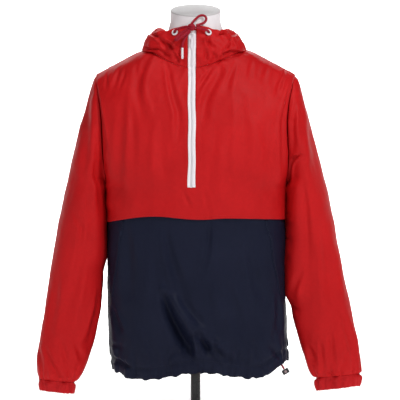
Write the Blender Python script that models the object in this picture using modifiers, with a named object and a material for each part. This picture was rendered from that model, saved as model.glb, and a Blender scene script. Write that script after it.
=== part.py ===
"""Anorak pullover on a limbless dress form.

Metres, +Z up.  The front of the garment faces -Y and +X is the wearer's left.
The origin lies on the floor under the middle of the stand's base.
Every cloth piece is a grid of points on one shared surface, given a wall thickness.
"""
import bpy
import bmesh
from math import asin, atan2, cos, pi, radians, sin
from mathutils import Vector, Matrix
from mathutils.bvhtree import BVHTree

# ---------------------------------------------------------------- driving dimensions
CLOTH = 0.0016              # wall of the lined shell cloth
SEAM_GAP = 0.0003           # between two neighbouring pieces
UNDERARM = 0.504            # height of the armhole's lowest point
SHOULDER_POINT = 0.760      # height of the armhole's highest point
SHOULDER_NECK = 0.8185      # height where the shoulder seam meets the neck seam
NECK_FRONT = 0.7695         # height of the neck seam at the centre front
NECK_BACK = 0.803           # height of the neck seam at the centre back
NECK_WIDTH = 0.517          # the neck seam's share of the shoulder's half width
ZIP_X = -0.008              # the zip sits a little to the wearer's right
ZIP_SLOT = 0.0076           # half the width of the opening that the zip fills
ARMHOLE_FRONT = 0.074       # how far the armhole's edge lies ahead of its middle
ARMHOLE_BACK = 0.084        # and behind it
SLEEVE_DRAW = 0.0007        # the sleeve's edge is drawn in a little more, as its wall twists
HOOD_DRAW = 0.0008
POUCH_SPREAD = 0.42         # share of the neck seam over which the hood's pouch deepens
HOOD_REACH = 0.06           # cloth further than this from a point doesn't move it
HOOD_CLEAR = 0.0080         # the hood's underside stands off the cloth it lies on
FLAP_LIFT = 0.0032          # how far the free front flap stands off the lower front
FLAP_OVERLAP = 0.020        # the lower front runs up behind the flap
TUCK = 0.0032               # how far it lies inside the flap there
TUCK_WIDTH = 0.9975         # and its share of the columns' width, clear of the side seam
CORD = 0.005                # drawcord diameter
HEM_CORD = 0.004
NECK_RADIUS = 0.0563        # of the dress form
BASE_RADIUS = 0.150
BASE_THICK = 0.012
POLE_RADIUS = 0.011
FORM_BOTTOM = 0.150

WIDEST = 0.25               # past both side seams, where the edge tables hold their end values

# columns and rows of the cloth grids
NECK_COLUMNS = 5
SHOULDER_COLUMNS = 6
ARM_ROWS = 9
FLAP_ROWS = 3
LOWER_ROWS = 7

# Body of the garment: outline by height.
# height, wearer's right half width, wearer's left half width, front depth, back depth
BODY = (
    (0.075, 0.176, 0.178, 0.110, 0.110),
    (0.100, 0.187, 0.200, 0.118, 0.116),
    (0.120, 0.192, 0.2065, 0.122, 0.119),
    (0.180, 0.197, 0.2060, 0.123, 0.117),
    (0.250, 0.199, 0.2035, 0.122, 0.112),
    (0.350, 0.199, 0.2025, 0.122, 0.108),
    (0.434, 0.1985, 0.2025, 0.125, 0.108),
    (0.504, 0.1985, 0.2025, 0.127, 0.110),
)
# From the underarm (0) to the shoulder (1).
# share, armhole x on the wearer's right, on the left, centre front depth, centre back depth
YOKE = (
    (0.00, 0.1985, 0.2025, 0.127, 0.110),
    (0.15, 0.2040, 0.2080, 0.127, 0.112),
    (0.35, 0.2080, 0.2070, 0.126, 0.114),
    (0.55, 0.2085, 0.2030, 0.123, 0.115),
    (0.75, 0.2150, 0.2090, 0.116, 0.112),
    (0.90, 0.2220, 0.2180, 0.107, 0.104),
    (1.00, 0.2245, 0.2250, 0.099, 0.098),
)
# Lower edge of the garment: x, height in front, height at the back
HEM = (
    (-0.186, 0.0980, 0.0980),
    (-0.140, 0.0775, 0.0860),
    (-0.092, 0.0795, 0.0800),
    (-0.030, 0.0915, 0.0790),
    (0.000, 0.0955, 0.0800),
    (0.033, 0.0940, 0.0790),
    (0.100, 0.0835, 0.0810),
    (0.152, 0.0850, 0.0860),
    (0.183, 0.1060, 0.1040),
    (0.202, 0.1180, 0.1180),
)
# Lower edge of the upper front: x, height
FLAP = (
    (-0.198, 0.4270),
    (-0.170, 0.4320),
    (-0.118, 0.4395),
    (-0.073, 0.4398),
    (-0.021, 0.4345),
    (0.027, 0.4330),
    (0.053, 0.4360),
    (0.200, 0.4335),
)
# Sleeves, down from the armhole; a row is one section between an outer and an inner point.
# outer x, outer height, inner x, inner height, half depth, middle y
SLEEVE_RIGHT = (
    (0.2315, 0.7490, 0.2040, 0.5040, 0.082, 0.004),
    (0.2430, 0.7050, 0.2065, 0.5010, 0.084, 0.003),
    (0.2576, 0.6570, 0.2080, 0.4950, 0.085, 0.002),
    (0.2720, 0.6000, 0.2085, 0.4850, 0.083, 0.000),
    (0.2869, 0.5300, 0.2080, 0.4650, 0.079, -0.002),
    (0.3010, 0.4600, 0.2065, 0.4300, 0.074, -0.004),
    (0.3139, 0.3900, 0.2050, 0.3800, 0.068, -0.007),
    (0.3255, 0.3200, 0.2050, 0.3180, 0.061, -0.010),
    (0.3364, 0.2525, 0.2060, 0.2525, 0.054, -0.013),
    (0.3476, 0.1845, 0.2194, 0.1845, 0.047, -0.017),
    (0.3544, 0.1440, 0.2306, 0.1420, 0.042, -0.019),
    (0.3580, 0.1120, 0.2440, 0.1080, 0.037, -0.021),
    (0.3580, 0.0880, 0.2560, 0.0820, 0.031, -0.022),
    (0.3530, 0.0758, 0.2700, 0.0680, 0.025, -0.022),
)
SLEEVE_LEFT = (
    (0.2320, 0.7490, 0.2080, 0.5040, 0.082, 0.004),
    (0.2440, 0.7050, 0.2100, 0.5010, 0.084, 0.003),
    (0.2576, 0.6570, 0.2112, 0.4950, 0.085, 0.002),
    (0.2750, 0.5900, 0.2118, 0.4850, 0.083, 0.000),
    (0.2914, 0.5220, 0.2110, 0.4650, 0.079, -0.002),
    (0.3055, 0.4570, 0.2095, 0.4300, 0.074, -0.004),
    (0.3190, 0.3880, 0.2085, 0.3800, 0.068, -0.007),
    (0.3319, 0.3195, 0.2085, 0.3180, 0.061, -0.010),
    (0.3476, 0.2520, 0.2105, 0.2480, 0.054, -0.013),
    (0.3611, 0.1845, 0.2240, 0.1845, 0.047, -0.017),
    (0.3679, 0.1440, 0.2400, 0.1380, 0.042, -0.019),
    (0.3705, 0.1200, 0.2490, 0.1080, 0.037, -0.021),
    (0.3712, 0.0990, 0.2580, 0.0880, 0.031, -0.022),
    (0.3700, 0.0878, 0.2690, 0.0780, 0.025, -0.022),
)
# Cuffs: outer x, outer height, inner x, inner height, half depth, middle y
CUFF_RIGHT = (
    (0.3560, 0.0640, 0.2680, 0.0560, 0.025, -0.022),
    (0.3510, 0.0510, 0.2720, 0.0430, 0.023, -0.022),
)
CUFF_LEFT = (
    (0.3722, 0.0760, 0.2670, 0.0640, 0.025, -0.022),
    (0.3655, 0.0610, 0.2715, 0.0500, 0.023, -0.022),
)
# Hood, lying down: each table is a section, from the neck seam to the face opening.
# distance out from the neck seam, height above it
HOOD_FRONT = (
    (0.0000, 0.000), (0.0030, 0.008), (0.0055, 0.018), (0.0067, 0.029), (0.0065, 0.041),
    (0.0048, 0.053), (0.0020, 0.065), (-0.0015, 0.076), (-0.0060, 0.086), (-0.0100, 0.0920),
    (-0.0140, 0.0905), (-0.0158, 0.0830),
)
HOOD_SIDE = (
    (0.0000, 0.000), (0.0022, 0.005), (0.0025, 0.011), (0.0010, 0.018), (-0.0025, 0.025),
    (-0.0070, 0.032), (-0.0125, 0.039), (-0.0190, 0.0450), (-0.0265, 0.0480), (-0.0335, 0.0470),
    (-0.0390, 0.0425), (-0.0410, 0.0350),
)
HOOD_BACK = (
    (0.0000, 0.000), (0.0070, 0.007), (0.0180, 0.003), (0.0290, -0.022), (0.0370, -0.070),
    (0.0450, -0.120), (0.0580, -0.155), (0.0760, -0.145), (0.0870, -0.100), (0.0900, -0.050),
    (0.0860, -0.005), (0.0790, 0.016),
)
# Dress form: height, half width, front depth, back depth
FORM = (
    (FORM_BOTTOM, 0.140, 0.086, 0.086),
    (0.168, 0.152, 0.096, 0.096),
    (0.250, 0.160, 0.100, 0.100),
    (0.370, 0.146, 0.092, 0.090),
    (0.480, 0.158, 0.100, 0.093),
    (0.590, 0.168, 0.106, 0.098),
    (0.670, 0.172, 0.101, 0.098),
    (0.725, 0.174, 0.088, 0.090),
    (0.757, 0.158, 0.074, 0.078),
    (0.783, 0.124, 0.063, 0.068),
    (0.806, 0.094, 0.058, 0.061),
    (0.830, 0.073, 0.057, 0.058),
    (0.856, 0.0625, 0.0565, 0.0568),
    (0.880, NECK_RADIUS, NECK_RADIUS, NECK_RADIUS),
)

COLOURS = {
    "red_cloth": ((0.52, 0.018, 0.022, 1.0), 0.62, 0.0),
    "navy_cloth": ((0.014, 0.016, 0.028, 1.0), 0.66, 0.0),
    "white_tape": ((0.80, 0.76, 0.79, 1.0), 0.7, 0.0),
    "white_plastic": ((0.82, 0.80, 0.82, 1.0), 0.35, 0.0),
    "red_cord": ((0.32, 0.015, 0.035, 1.0), 0.75, 0.0),
    "black_plastic": ((0.010, 0.010, 0.012, 1.0), 0.4, 0.0),
    "black_paint": ((0.012, 0.012, 0.013, 1.0), 0.35, 0.0),
    "form_white": ((0.72, 0.70, 0.72, 1.0), 0.55, 0.0),
    "form_grey": ((0.60, 0.59, 0.59, 1.0), 0.6, 0.0),
}


# ---------------------------------------------------------------- scene helpers
def clear_scene():
    for item in list(bpy.data.objects):
        bpy.data.objects.remove(item, do_unlink=True)


def new_collection(name):
    collection = bpy.data.collections.new(name)
    bpy.context.scene.collection.children.link(collection)
    return collection


def finish_of(name):
    if name in bpy.data.materials:
        return bpy.data.materials[name]
    colour, roughness, metallic = COLOURS[name]
    material = bpy.data.materials.new(name)
    material.use_nodes = True
    shader = material.node_tree.nodes["Principled BSDF"]
    shader.inputs["Base Color"].default_value = colour
    shader.inputs["Roughness"].default_value = roughness
    shader.inputs["Metallic"].default_value = metallic
    return material


def add_object(name, data, colour):
    piece = bpy.data.objects.new(name, data)
    data.materials.append(finish_of(colour))
    PARTS.objects.link(piece)
    return piece


def add_mesh(name, bm, colour, smooth_angle=40):
    mesh = bpy.data.meshes.new(name)
    bm.to_mesh(mesh)
    bm.free()
    mesh.shade_smooth()
    mesh.set_sharp_from_angle(angle=radians(smooth_angle))
    return add_object(name, mesh, colour)


# ---------------------------------------------------------------- curves through tables
def read(table, position, column):
    """A smooth curve through one column of a table, at a position in its first column."""
    last = len(table) - 1
    if position <= table[0][0]:
        return table[0][column]
    if position >= table[last][0]:
        return table[last][column]
    row = 0
    while table[row + 1][0] < position:
        row += 1

    def slope(k):
        below = table[max(k - 1, 0)]
        above = table[min(k + 1, last)]
        return (above[column] - below[column]) / (above[0] - below[0])

    width = table[row + 1][0] - table[row][0]
    t = (position - table[row][0]) / width
    start, end = table[row][column], table[row + 1][column]
    return ((1 + 2 * t) * (1 - t) ** 2 * start + t * t * (3 - 2 * t) * end
            + t * (1 - t) ** 2 * width * slope(row) - t * t * (1 - t) * width * slope(row + 1))


def mix(start, end, share):
    return start + (end - start) * share


def smooth_route(points, spacing):
    """Points at an even spacing on a smooth curve through a cord's own points."""
    route = [Vector(point) for point in points]
    dense = []
    for k in range(len(route) - 1):
        before = route[max(k - 1, 0)]
        start, end = route[k], route[k + 1]
        after = route[min(k + 2, len(route) - 1)]
        for step in range(24):
            t = step / 24
            dense.append(0.5 * (2 * start + (end - before) * t
                                + (2 * before - 5 * start + 4 * end - after) * t * t
                                + (3 * start - before - 3 * end + after) * t ** 3))
    dense.append(route[-1])
    length = sum((b - a).length for a, b in zip(dense, dense[1:]))
    count = max(3, round(length / spacing))
    even = [dense[0]]
    run, wanted = 0.0, length / count
    for a, b in zip(dense, dense[1:]):
        step = (b - a).length
        while run + step >= wanted * len(even) and len(even) < count:
            even.append(a.lerp(b, (wanted * len(even) - run) / step))
        run += step
    even.append(dense[-1])
    return even


# ---------------------------------------------------------------- the garment's surface
def column_share(u):
    """Share of the half width at a column: closer together towards the side."""
    return sin(abs(u) * pi / 2)


def neck_column():
    """The column where the shoulder seam meets the neck seam."""
    return asin(NECK_WIDTH) * 2 / pi


def top_height(face, u):
    """Height of the shoulder seam or, between its ends, of the neck seam."""
    share = column_share(u)
    if share >= NECK_WIDTH:
        return mix(SHOULDER_NECK, SHOULDER_POINT, (share - NECK_WIDTH) / (1 - NECK_WIDTH))
    if face < 0:
        return mix(NECK_FRONT, SHOULDER_NECK, (share / NECK_WIDTH) ** 1.6)
    return mix(NECK_BACK, SHOULDER_NECK, (share / NECK_WIDTH) ** 2.0)


def fullness(share):
    """How deep a level section is at a share of its half width."""
    return (1 - share ** 2.6) ** (1 / 2.6)


def place_across(face, half, side, across):
    """x of a column: the zip's offset fades out before the shoulder seam."""
    fade = max(0.0, 1 - (across / NECK_WIDTH) ** 2) ** 2
    return side * half * across + (ZIP_X * fade if face < 0 else 0.0)


def edge_depth(face, share):
    """How far the armhole's edge lies ahead of, or behind, its middle."""
    depth = ARMHOLE_FRONT if face < 0 else ARMHOLE_BACK
    return depth * max(0.0, 1 - abs(2 * share - 1) ** 2.4) ** 0.5


def yoke_point(face, u, share):
    """Above the underarm: share 0 there, 1 at the shoulder or neck seam."""
    side = 1 if u > 0 else -1
    half = read(YOKE, share, 2 if u > 0 else 1)
    across = column_share(u)
    x = place_across(face, half, side, across)
    z = mix(UNDERARM, top_height(face, u), share)
    inside_neck = max(0.0, 1 - (across / NECK_WIDTH) ** 2)
    roll = share * (1 - 0.20 * inside_neck)
    over = max(0.0, 1 - roll ** 3) ** (1 / 3)
    centre = read(YOKE, share, 3 if face < 0 else 4) * over
    edge = edge_depth(face, share)
    return Vector((x, face * (edge + (centre - edge) * fullness(across)), z))


def seam_height(face, x):
    """Where the red upper body ends above the navy lower body."""
    if face < 0:
        return read(FLAP, x, 1)
    start, end = FLAP[0], FLAP[-1]
    share = (x - start[0]) / (end[0] - start[0])
    return mix(start[1], end[1], min(1.0, max(0.0, share)))


def body_point(face, u, height_share, low, high):
    """Below the underarm, between two height functions of x."""
    side = 1 if u > 0 else -1
    side_x = side * WIDEST
    nominal = mix(low(face, side_x), high(face, side_x), height_share)
    half = read(BODY, nominal, 2 if u > 0 else 1)
    across = column_share(u)
    x = place_across(face, half, side, across)
    z = mix(low(face, x), high(face, x), height_share)
    depth = read(BODY, z, 3 if face < 0 else 4)
    return Vector((x, face * depth * fullness(across), z))


def hem_height(face, x):
    return read(HEM, x, 1 if face < 0 else 2)


def underarm_height(face, x):
    return UNDERARM


def arm_share(row):
    return (1 - cos(pi * row / ARM_ROWS)) / 2


def columns(face):
    """Column positions across a panel; in front the middle cell is the zip's opening."""
    neck = neck_column()
    start = asin(ZIP_SLOT / YOKE[0][1]) * 2 / pi if face < 0 else 0.0
    half = [mix(start, neck, k / NECK_COLUMNS) for k in range(NECK_COLUMNS + 1)]
    half += [mix(neck, 1, k / SHOULDER_COLUMNS) for k in range(1, SHOULDER_COLUMNS + 1)]
    if face > 0:
        return [-u for u in reversed(half[1:])] + half
    return [-u for u in reversed(half)] + half


def upper_panel(face):
    """Rows from the lower edge up to the shoulders."""
    rows = []
    for k in range(FLAP_ROWS):
        share = k / FLAP_ROWS
        row = [body_point(face, u, share, seam_height, underarm_height) for u in columns(face)]
        if face < 0:
            for point, u in zip(row, columns(face)):
                point.y -= (1 - share) ** 1.5 * FLAP_LIFT * (1 - abs(u) ** 12)
        rows.append(row)
    for k in range(ARM_ROWS + 1):
        rows.append([yoke_point(face, u, arm_share(k)) for u in columns(face)])
    return rows


def lower_panel(face):
    """Rows from the hem up to the seam, or up behind the flap in front."""
    rows = []
    for k in range(LOWER_ROWS + 1):
        share = k / LOWER_ROWS
        rows.append([body_point(face, u, share, hem_height, seam_height) for u in columns(face)])
    if face < 0:
        rows.pop()
        for above in (0.0, FLAP_OVERLAP):
            rows.append([tucked_point(u, above) for u in columns(face)])
    return rows


def tucked_point(u, above):
    """A point of the lower front behind the flap, moved in towards the form."""
    side = 1 if u > 0 else -1
    nominal = seam_height(-1, side * WIDEST) + above
    half = read(BODY, nominal, 2 if u > 0 else 1) - TUCK
    across = column_share(u * TUCK_WIDTH)
    x = place_across(-1, half, side, across)
    z = seam_height(-1, x) + above
    front = read(BODY, z, 3) - TUCK
    return Vector((x, -front * fullness(across), z))


def sleeve_rings(side, table):
    """The armhole's own edge, then one ring for each row of the table."""
    edge = side * 1.0
    armhole = [yoke_point(-1, edge, arm_share(k)) for k in range(ARM_ROWS + 1)]
    armhole += [yoke_point(1, edge, arm_share(k)) for k in range(ARM_ROWS - 1, 0, -1)]
    rings = [armhole]
    rings += [section_ring(side, row) for row in table]
    return rings


def section_ring(side, row):
    outer_x, outer_z, inner_x, inner_z, half_depth, middle_y = row
    ring = []
    for k in range(2 * ARM_ROWS):
        turn = pi * k / ARM_ROWS
        share = (1 - cos(turn)) / 2
        ring.append(Vector((side * mix(inner_x, outer_x, share),
                            middle_y - half_depth * sin(turn),
                            mix(inner_z, outer_z, share))))
    return ring


def neck_seam(side):
    """The neck seam's points from the zip round one side to the centre back."""
    front = [u for u in columns(-1) if u * side > 0 and abs(u) < neck_column() + 1e-6]
    back = [u for u in columns(1) if u * side >= 0 and abs(u) < neck_column() - 1e-6]
    front.sort(key=abs)
    back.sort(key=abs, reverse=True)
    points = [yoke_point(-1, u, 1.0) for u in front]
    points += [yoke_point(1, u, 1.0) for u in back]
    return points


def hood_section(side, share, seam):
    """One section of the hood: share 0 at the zip, 0.5 at the shoulder, 1 at the back."""
    turn = pi * share
    if share > 0.5:
        turn = pi * (1 - 2 * (1 - share) ** 2)
    out = Vector((side * sin(turn), -cos(turn), 0))
    section = []
    for front, beside, back in zip(HOOD_FRONT, HOOD_SIDE, HOOD_BACK):
        pair = []
        for k in range(2):
            if share < 0.5:
                ease = (1 - cos(2 * pi * share)) / 2
                pair.append(mix(front[k], beside[k], ease))
            else:
                ease = (1 - cos(pi * min(1.0, (share - 0.5) / POUCH_SPREAD))) / 2
                pair.append(mix(beside[k], back[k], ease))
        section.append(seam + out * pair[0] + Vector((0, 0, pair[1])))
    if share == 1.0:
        for point in section:
            point.x = 0.0
    return section


def hood_sections(side):
    seam = neck_seam(side)
    last = len(seam) - 1
    return [hood_section(side, k / last, point) for k, point in enumerate(seam)]


# ---------------------------------------------------------------- cloth from grids
class Panel:
    """A grid of points on the garment's outer surface, with a wall of one thickness."""

    def __init__(self, name, rows, colour, ring=False, hole=None, gaps="bt", thick=CLOTH,
                 draw=SEAM_GAP / 2):
        self.name = name
        self.rows = rows
        self.colour = colour
        self.ring = ring
        self.hole = hole or (lambda row, column: False)
        self.gaps = gaps
        self.thick = thick
        self.draw = draw
        self.turn_outwards()

    def cells(self):
        width = len(self.rows[0])
        last = width if self.ring else width - 1
        for r in range(len(self.rows) - 1):
            for c in range(last):
                if not self.hole(r, c):
                    d = (c + 1) % width
                    yield ((r, c), (r, d), (r + 1, d), (r + 1, c))

    def cell_normal(self, cell):
        a, b, c, d = (self.rows[r][k] for r, k in cell)
        return (c - a).cross(d - b)

    def polygons(self):
        """Corner points and cells, as lists for a search tree."""
        width = len(self.rows[0])
        points = [point for row in self.rows for point in row]
        return points, [[r * width + c for r, c in cell] for cell in self.cells()]

    def turn_outwards(self):
        """Reverse the columns if the grid faces the inside of its own section."""
        total = 0.0
        for cell in self.cells():
            corners = [self.rows[r][k] for r, k in cell]
            middle = sum(corners, Vector()) / 4
            total += self.cell_normal(cell).dot(middle - self.heart(cell[0][0]))
        if total < 0:
            self.rows = [list(reversed(row)) for row in self.rows]
            kept = self.hole
            last = len(self.rows[0]) - 2
            self.hole = lambda row, column: kept(row, last - column)

    def heart(self, r):
        if self.ring:
            return sum(self.rows[r], Vector()) / len(self.rows[r])
        return Vector((0, 0, self.rows[r][len(self.rows[r]) // 2].z))


def key_of(point):
    return tuple(round(value, 6) for value in point)


def shared_normals(panels):
    """One direction for each point, so neighbours that share a seam have parallel edges."""
    total = {}
    for panel in panels:
        for cell in panel.cells():
            normal = panel.cell_normal(cell)
            if normal.length > 1e-12:
                for r, c in cell:
                    key = key_of(panel.rows[r][c])
                    total[key] = total.get(key, Vector()) + normal.normalized()
    return {key: normal.normalized() for key, normal in total.items()}


def drawn_in(panel):
    """The grid's points, with its outer edges moved in from the seams."""
    rows = [[point.copy() for point in row] for row in panel.rows]
    half = panel.draw
    if "b" in panel.gaps:
        for point, inner in zip(rows[0], panel.rows[1]):
            point += (inner - point).normalized() * half
    if "t" in panel.gaps:
        for point, inner in zip(rows[-1], panel.rows[-2]):
            point += (inner - point).normalized() * half
    if not panel.ring:
        for row, kept in zip(rows, panel.rows):
            row[0] += (kept[1] - kept[0]).normalized() * half
            row[-1] += (kept[-2] - kept[-1]).normalized() * half
    return rows


def make_cloth(panel, normals):
    """The closed wall between the outer grid and the same grid moved inwards."""
    bm = bmesh.new()
    outer, inner = {}, {}
    rows = drawn_in(panel)
    edges = {}
    for cell in panel.cells():
        for r, c in cell:
            if (r, c) not in outer:
                point = rows[r][c]
                inward = -normals[key_of(panel.rows[r][c])] * panel.thick
                outer[r, c] = bm.verts.new(point)
                inner[r, c] = bm.verts.new(point + inward)
        bm.faces.new([outer[k] for k in cell])
        bm.faces.new([inner[k] for k in reversed(cell)])
        for a, b in zip(cell, cell[1:] + cell[:1]):
            if (b, a) in edges:
                del edges[b, a]
            else:
                edges[a, b] = True
    for a, b in edges:
        bm.faces.new((outer[b], outer[a], inner[a], inner[b]))
    return add_mesh(panel.name, bm, panel.colour)


def garment_panels():
    """Every cloth piece that shares a seam with another."""
    front_columns = len(columns(-1))
    middle = front_columns // 2 - 1

    def zip_opening(row, column):
        return column == middle and row >= FLAP_ROWS

    panels = [
        Panel("front_upper", upper_panel(-1), "red_cloth", hole=zip_opening),
        Panel("back_upper", upper_panel(1), "red_cloth"),
        Panel("back_lower", lower_panel(1), "navy_cloth", gaps="t"),
    ]
    lower = Panel("front_lower", lower_panel(-1), "navy_cloth", gaps="")
    panels.append(lower)
    for name, side, table, cuff in (("right", -1, SLEEVE_RIGHT, CUFF_RIGHT),
                                    ("left", 1, SLEEVE_LEFT, CUFF_LEFT)):
        rings = sleeve_rings(side, table)
        panels.append(Panel("sleeve_" + name, rings, "red_cloth", ring=True, draw=SLEEVE_DRAW))
        band = [rings[-1]] + [section_ring(side, row) for row in cuff]
        panels.append(Panel("cuff_" + name, band, "red_cloth", ring=True, gaps="b"))
    panels += hood_panels(panels)
    return panels


def hood_panels(body):
    """Two halves, moved clear of the shoulders and the back that they lie on."""
    trees = [BVHTree.FromPolygons(*panel.polygons()) for panel in body
             if panel.name in ("front_upper", "back_upper", "sleeve_left", "sleeve_right")]
    halves = {side: [laid_on(section, trees) for section in hood_sections(side)]
              for side in (-1, 1)}
    panels = []
    for name, side in (("right", -1), ("left", 1)):
        rows = [list(row) for row in zip(*halves[side])]
        panels.append(Panel("hood_" + name, rows, "red_cloth", gaps="b", draw=HOOD_DRAW))
    return panels


def laid_on(section, trees):
    """A hood section moved off the cloth beneath it, further off away from its seam."""
    for k, point in enumerate(section[1:], 1):
        wanted = min(HOOD_CLEAR, 0.0034 * k)
        for step in range(3):
            for tree in trees:
                near, normal, face, distance = tree.find_nearest(point)
                height = (point - near).dot(normal)
                if distance < HOOD_REACH and height < wanted:
                    point += normal * (wanted - height)
    return section


# ---------------------------------------------------------------- dress form and stand
FORM_SIDES = 28


def form_ring(height, half, front, back, tilt=0.0):
    ring = []
    for k in range(FORM_SIDES):
        turn = 2 * pi * k / FORM_SIDES
        depth = back if sin(turn) > 0 else front
        y = depth * abs(sin(turn)) ** 0.88 * (1 if sin(turn) > 0 else -1)
        x = half * abs(cos(turn)) ** 0.88 * (1 if cos(turn) > 0 else -1)
        if half <= NECK_RADIUS + 0.0001:
            x, y = half * cos(turn), depth * sin(turn)
        ring.append(Vector((x, y, height + tilt * (y + front))))
    return ring


def loft(name, rings, colour, smooth_angle=40):
    """A closed solid through rings of equal counts, with flat ends."""
    bm = bmesh.new()
    made = [[bm.verts.new(point) for point in ring] for ring in rings]
    for low, high in zip(made, made[1:]):
        for k in range(len(low)):
            n = (k + 1) % len(low)
            bm.faces.new((low[k], low[n], high[n], high[k]))
    bm.faces.new(list(reversed(made[0])))
    bm.faces.new(made[-1])
    bmesh.ops.recalc_face_normals(bm, faces=bm.faces)
    return add_mesh(name, bm, colour, smooth_angle)


NECK_CUT = 0.8850           # front edge of the neck's slanted top
NECK_SLANT = 0.29           # rise of the slanted top for each metre back
CAP_THICK = 0.004


def make_form():
    rings = [form_ring(*row) for row in FORM]
    rings.append(form_ring(NECK_CUT, NECK_RADIUS, NECK_RADIUS, NECK_RADIUS, NECK_SLANT))
    loft("form_torso", rings, "form_white")
    cap = []
    for lift, radius in ((0.0, NECK_RADIUS), (CAP_THICK * 0.7, NECK_RADIUS),
                         (CAP_THICK, NECK_RADIUS - 0.0015)):
        inset = NECK_RADIUS - radius
        ring = form_ring(NECK_CUT + SEAM_GAP + lift + NECK_SLANT * inset, radius, radius, radius,
                         NECK_SLANT)
        cap.append(ring)
    loft("form_neck_cap", cap, "form_grey", 30)


def turned(name, profile, colour, steps=32):
    """A turned solid: its outer profile from top to bottom, starting and ending on the axis."""
    mesh = bpy.data.meshes.new(name)
    mesh.from_pydata([(r, 0, z) for r, z in profile],
                     [(k, k + 1) for k in range(len(profile) - 1)], [])
    piece = add_object(name, mesh, colour)
    screw = piece.modifiers.new("turn", "SCREW")
    screw.steps = steps
    screw.render_steps = steps
    screw.use_merge_vertices = True
    screw.merge_threshold = 0.00005
    screw.use_smooth_shade = True
    return piece


def make_stand():
    top = BASE_THICK
    turned("stand_base", (
        (0.0, top), (BASE_RADIUS - 0.008, top), (BASE_RADIUS - 0.003, top - 0.002),
        (BASE_RADIUS, top - 0.006), (BASE_RADIUS, 0.001), (BASE_RADIUS - 0.001, 0.0),
        (0.0, 0.0)), "black_paint", 40)
    low = BASE_THICK + SEAM_GAP
    high = FORM_BOTTOM - 0.008 - 2 * SEAM_GAP
    turned("stand_pole", ((0.0, high), (POLE_RADIUS, high), (POLE_RADIUS, low + 0.012),
                          (0.020, low + 0.010), (0.024, low), (0.0, low)), "black_paint", 20)
    under = FORM_BOTTOM - SEAM_GAP
    turned("stand_socket", ((0.0, under), (0.040, under), (0.042, under - 0.003),
                            (0.040, under - 0.008), (0.0, under - 0.008)), "black_paint", 24)


# ---------------------------------------------------------------- zip
TAPE_THICK = 0.0012
CHAIN_HALF = 0.0021
TAPE_EDGE = 0.0070
ZIP_TOP_ROW = 8             # row of the hood's section where the zip ends
PULL_LENGTH = 0.027
PULL_THICK = 0.0016
PULL_PIVOT = (-0.0878, 0.8385)      # y and z of the pull tab's hinge
SLIDER_SIZE = (0.0085, 0.0056, 0.0115)


def zip_line():
    """Outer points of the centre front, from the zip's lower end up the hood."""
    line = [yoke_point(-1, 1e-9, arm_share(k)) for k in range(ARM_ROWS + 1)]
    top = line[-1]
    section = hood_section(1, 0.0, top)
    for k in range(1, ZIP_TOP_ROW + 1):
        line.append(section[k])
    line[0] = line[0] + (line[1] - line[0]).normalized() * 0.0006
    return line


def zip_strip(name, start, end, colour, raise_by=0.0):
    rows = []
    for point in zip_line():
        rows.append([point + Vector((start, -raise_by, 0)), point + Vector((end, -raise_by, 0))])
    return Panel(name, rows, colour, gaps="", thick=TAPE_THICK)


def make_zip():
    strips = [
        zip_strip("zip_tape_right", -TAPE_EDGE, -CHAIN_HALF, "white_tape"),
        zip_strip("zip_chain", -CHAIN_HALF + 0.0001, CHAIN_HALF - 0.0001, "white_plastic", 0.0004),
        zip_strip("zip_tape_left", CHAIN_HALF, TAPE_EDGE, "white_tape"),
    ]
    for strip in strips:
        make_cloth(strip, shared_normals([strip]))


def box(name, size, place, colour, bevel):
    bm = bmesh.new()
    bmesh.ops.create_cube(bm, size=1.0)
    bmesh.ops.scale(bm, vec=size, verts=bm.verts)
    bmesh.ops.bevel(bm, geom=bm.edges[:], offset=bevel, segments=2, profile=0.5,
                    affect="EDGES", material=-1)
    piece = add_mesh(name, bm, colour, 60)
    piece.location = place
    return piece


def make_slider():
    """The slider sits at the closed zip's top, with its pull tab hanging from its front."""
    line = zip_line()
    along = (line[-1] - line[-2]).normalized()
    out = Vector((0, -along.z, along.y))
    seat = line[-1] - along * (SLIDER_SIZE[2] / 2 + 0.001)
    place = seat + out * (SLIDER_SIZE[1] / 2 + 0.0008)
    slider = box("zip_slider", SLIDER_SIZE, place, "white_plastic", 0.0008)
    slider.rotation_euler = (-atan2(along.y, along.z), 0, 0)
    hinge = bpy.data.objects.new("zip_pull_axis", None)
    hinge.location = (ZIP_X, PULL_PIVOT[0], PULL_PIVOT[1])
    PARTS.objects.link(hinge)
    pull = box("zip_pull", (0.0055, PULL_THICK, PULL_LENGTH),
               (0, 0, PULL_THICK / 2 - PULL_LENGTH / 2), "white_plastic", 0.0004)
    pull.parent = hinge


# ---------------------------------------------------------------- eyelets, drawcord, hem cord
EYELETS = (("right", -1, 0.145), ("left", 1, 0.122))    # name, side, share round the neck seam
EYELET_ROW = 7
KNOT = Vector((-0.0086, -0.0895, 0.8600))
KNOT_SIZE = (0.0092, 0.0066, 0.0072)


def tube(name, points, diameter, colour, spacing=2.4):
    route = smooth_route(points, spacing * diameter)
    curve = bpy.data.curves.new(name, "CURVE")
    curve.dimensions = "3D"
    curve.bevel_depth = diameter / 2
    curve.bevel_resolution = 2
    curve.use_fill_caps = True
    spline = curve.splines.new("POLY")
    spline.points.add(len(route) - 1)
    for place, point in zip(spline.points, route):
        place.co = (*point, 1.0)
    return add_object(name, curve, colour)


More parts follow.
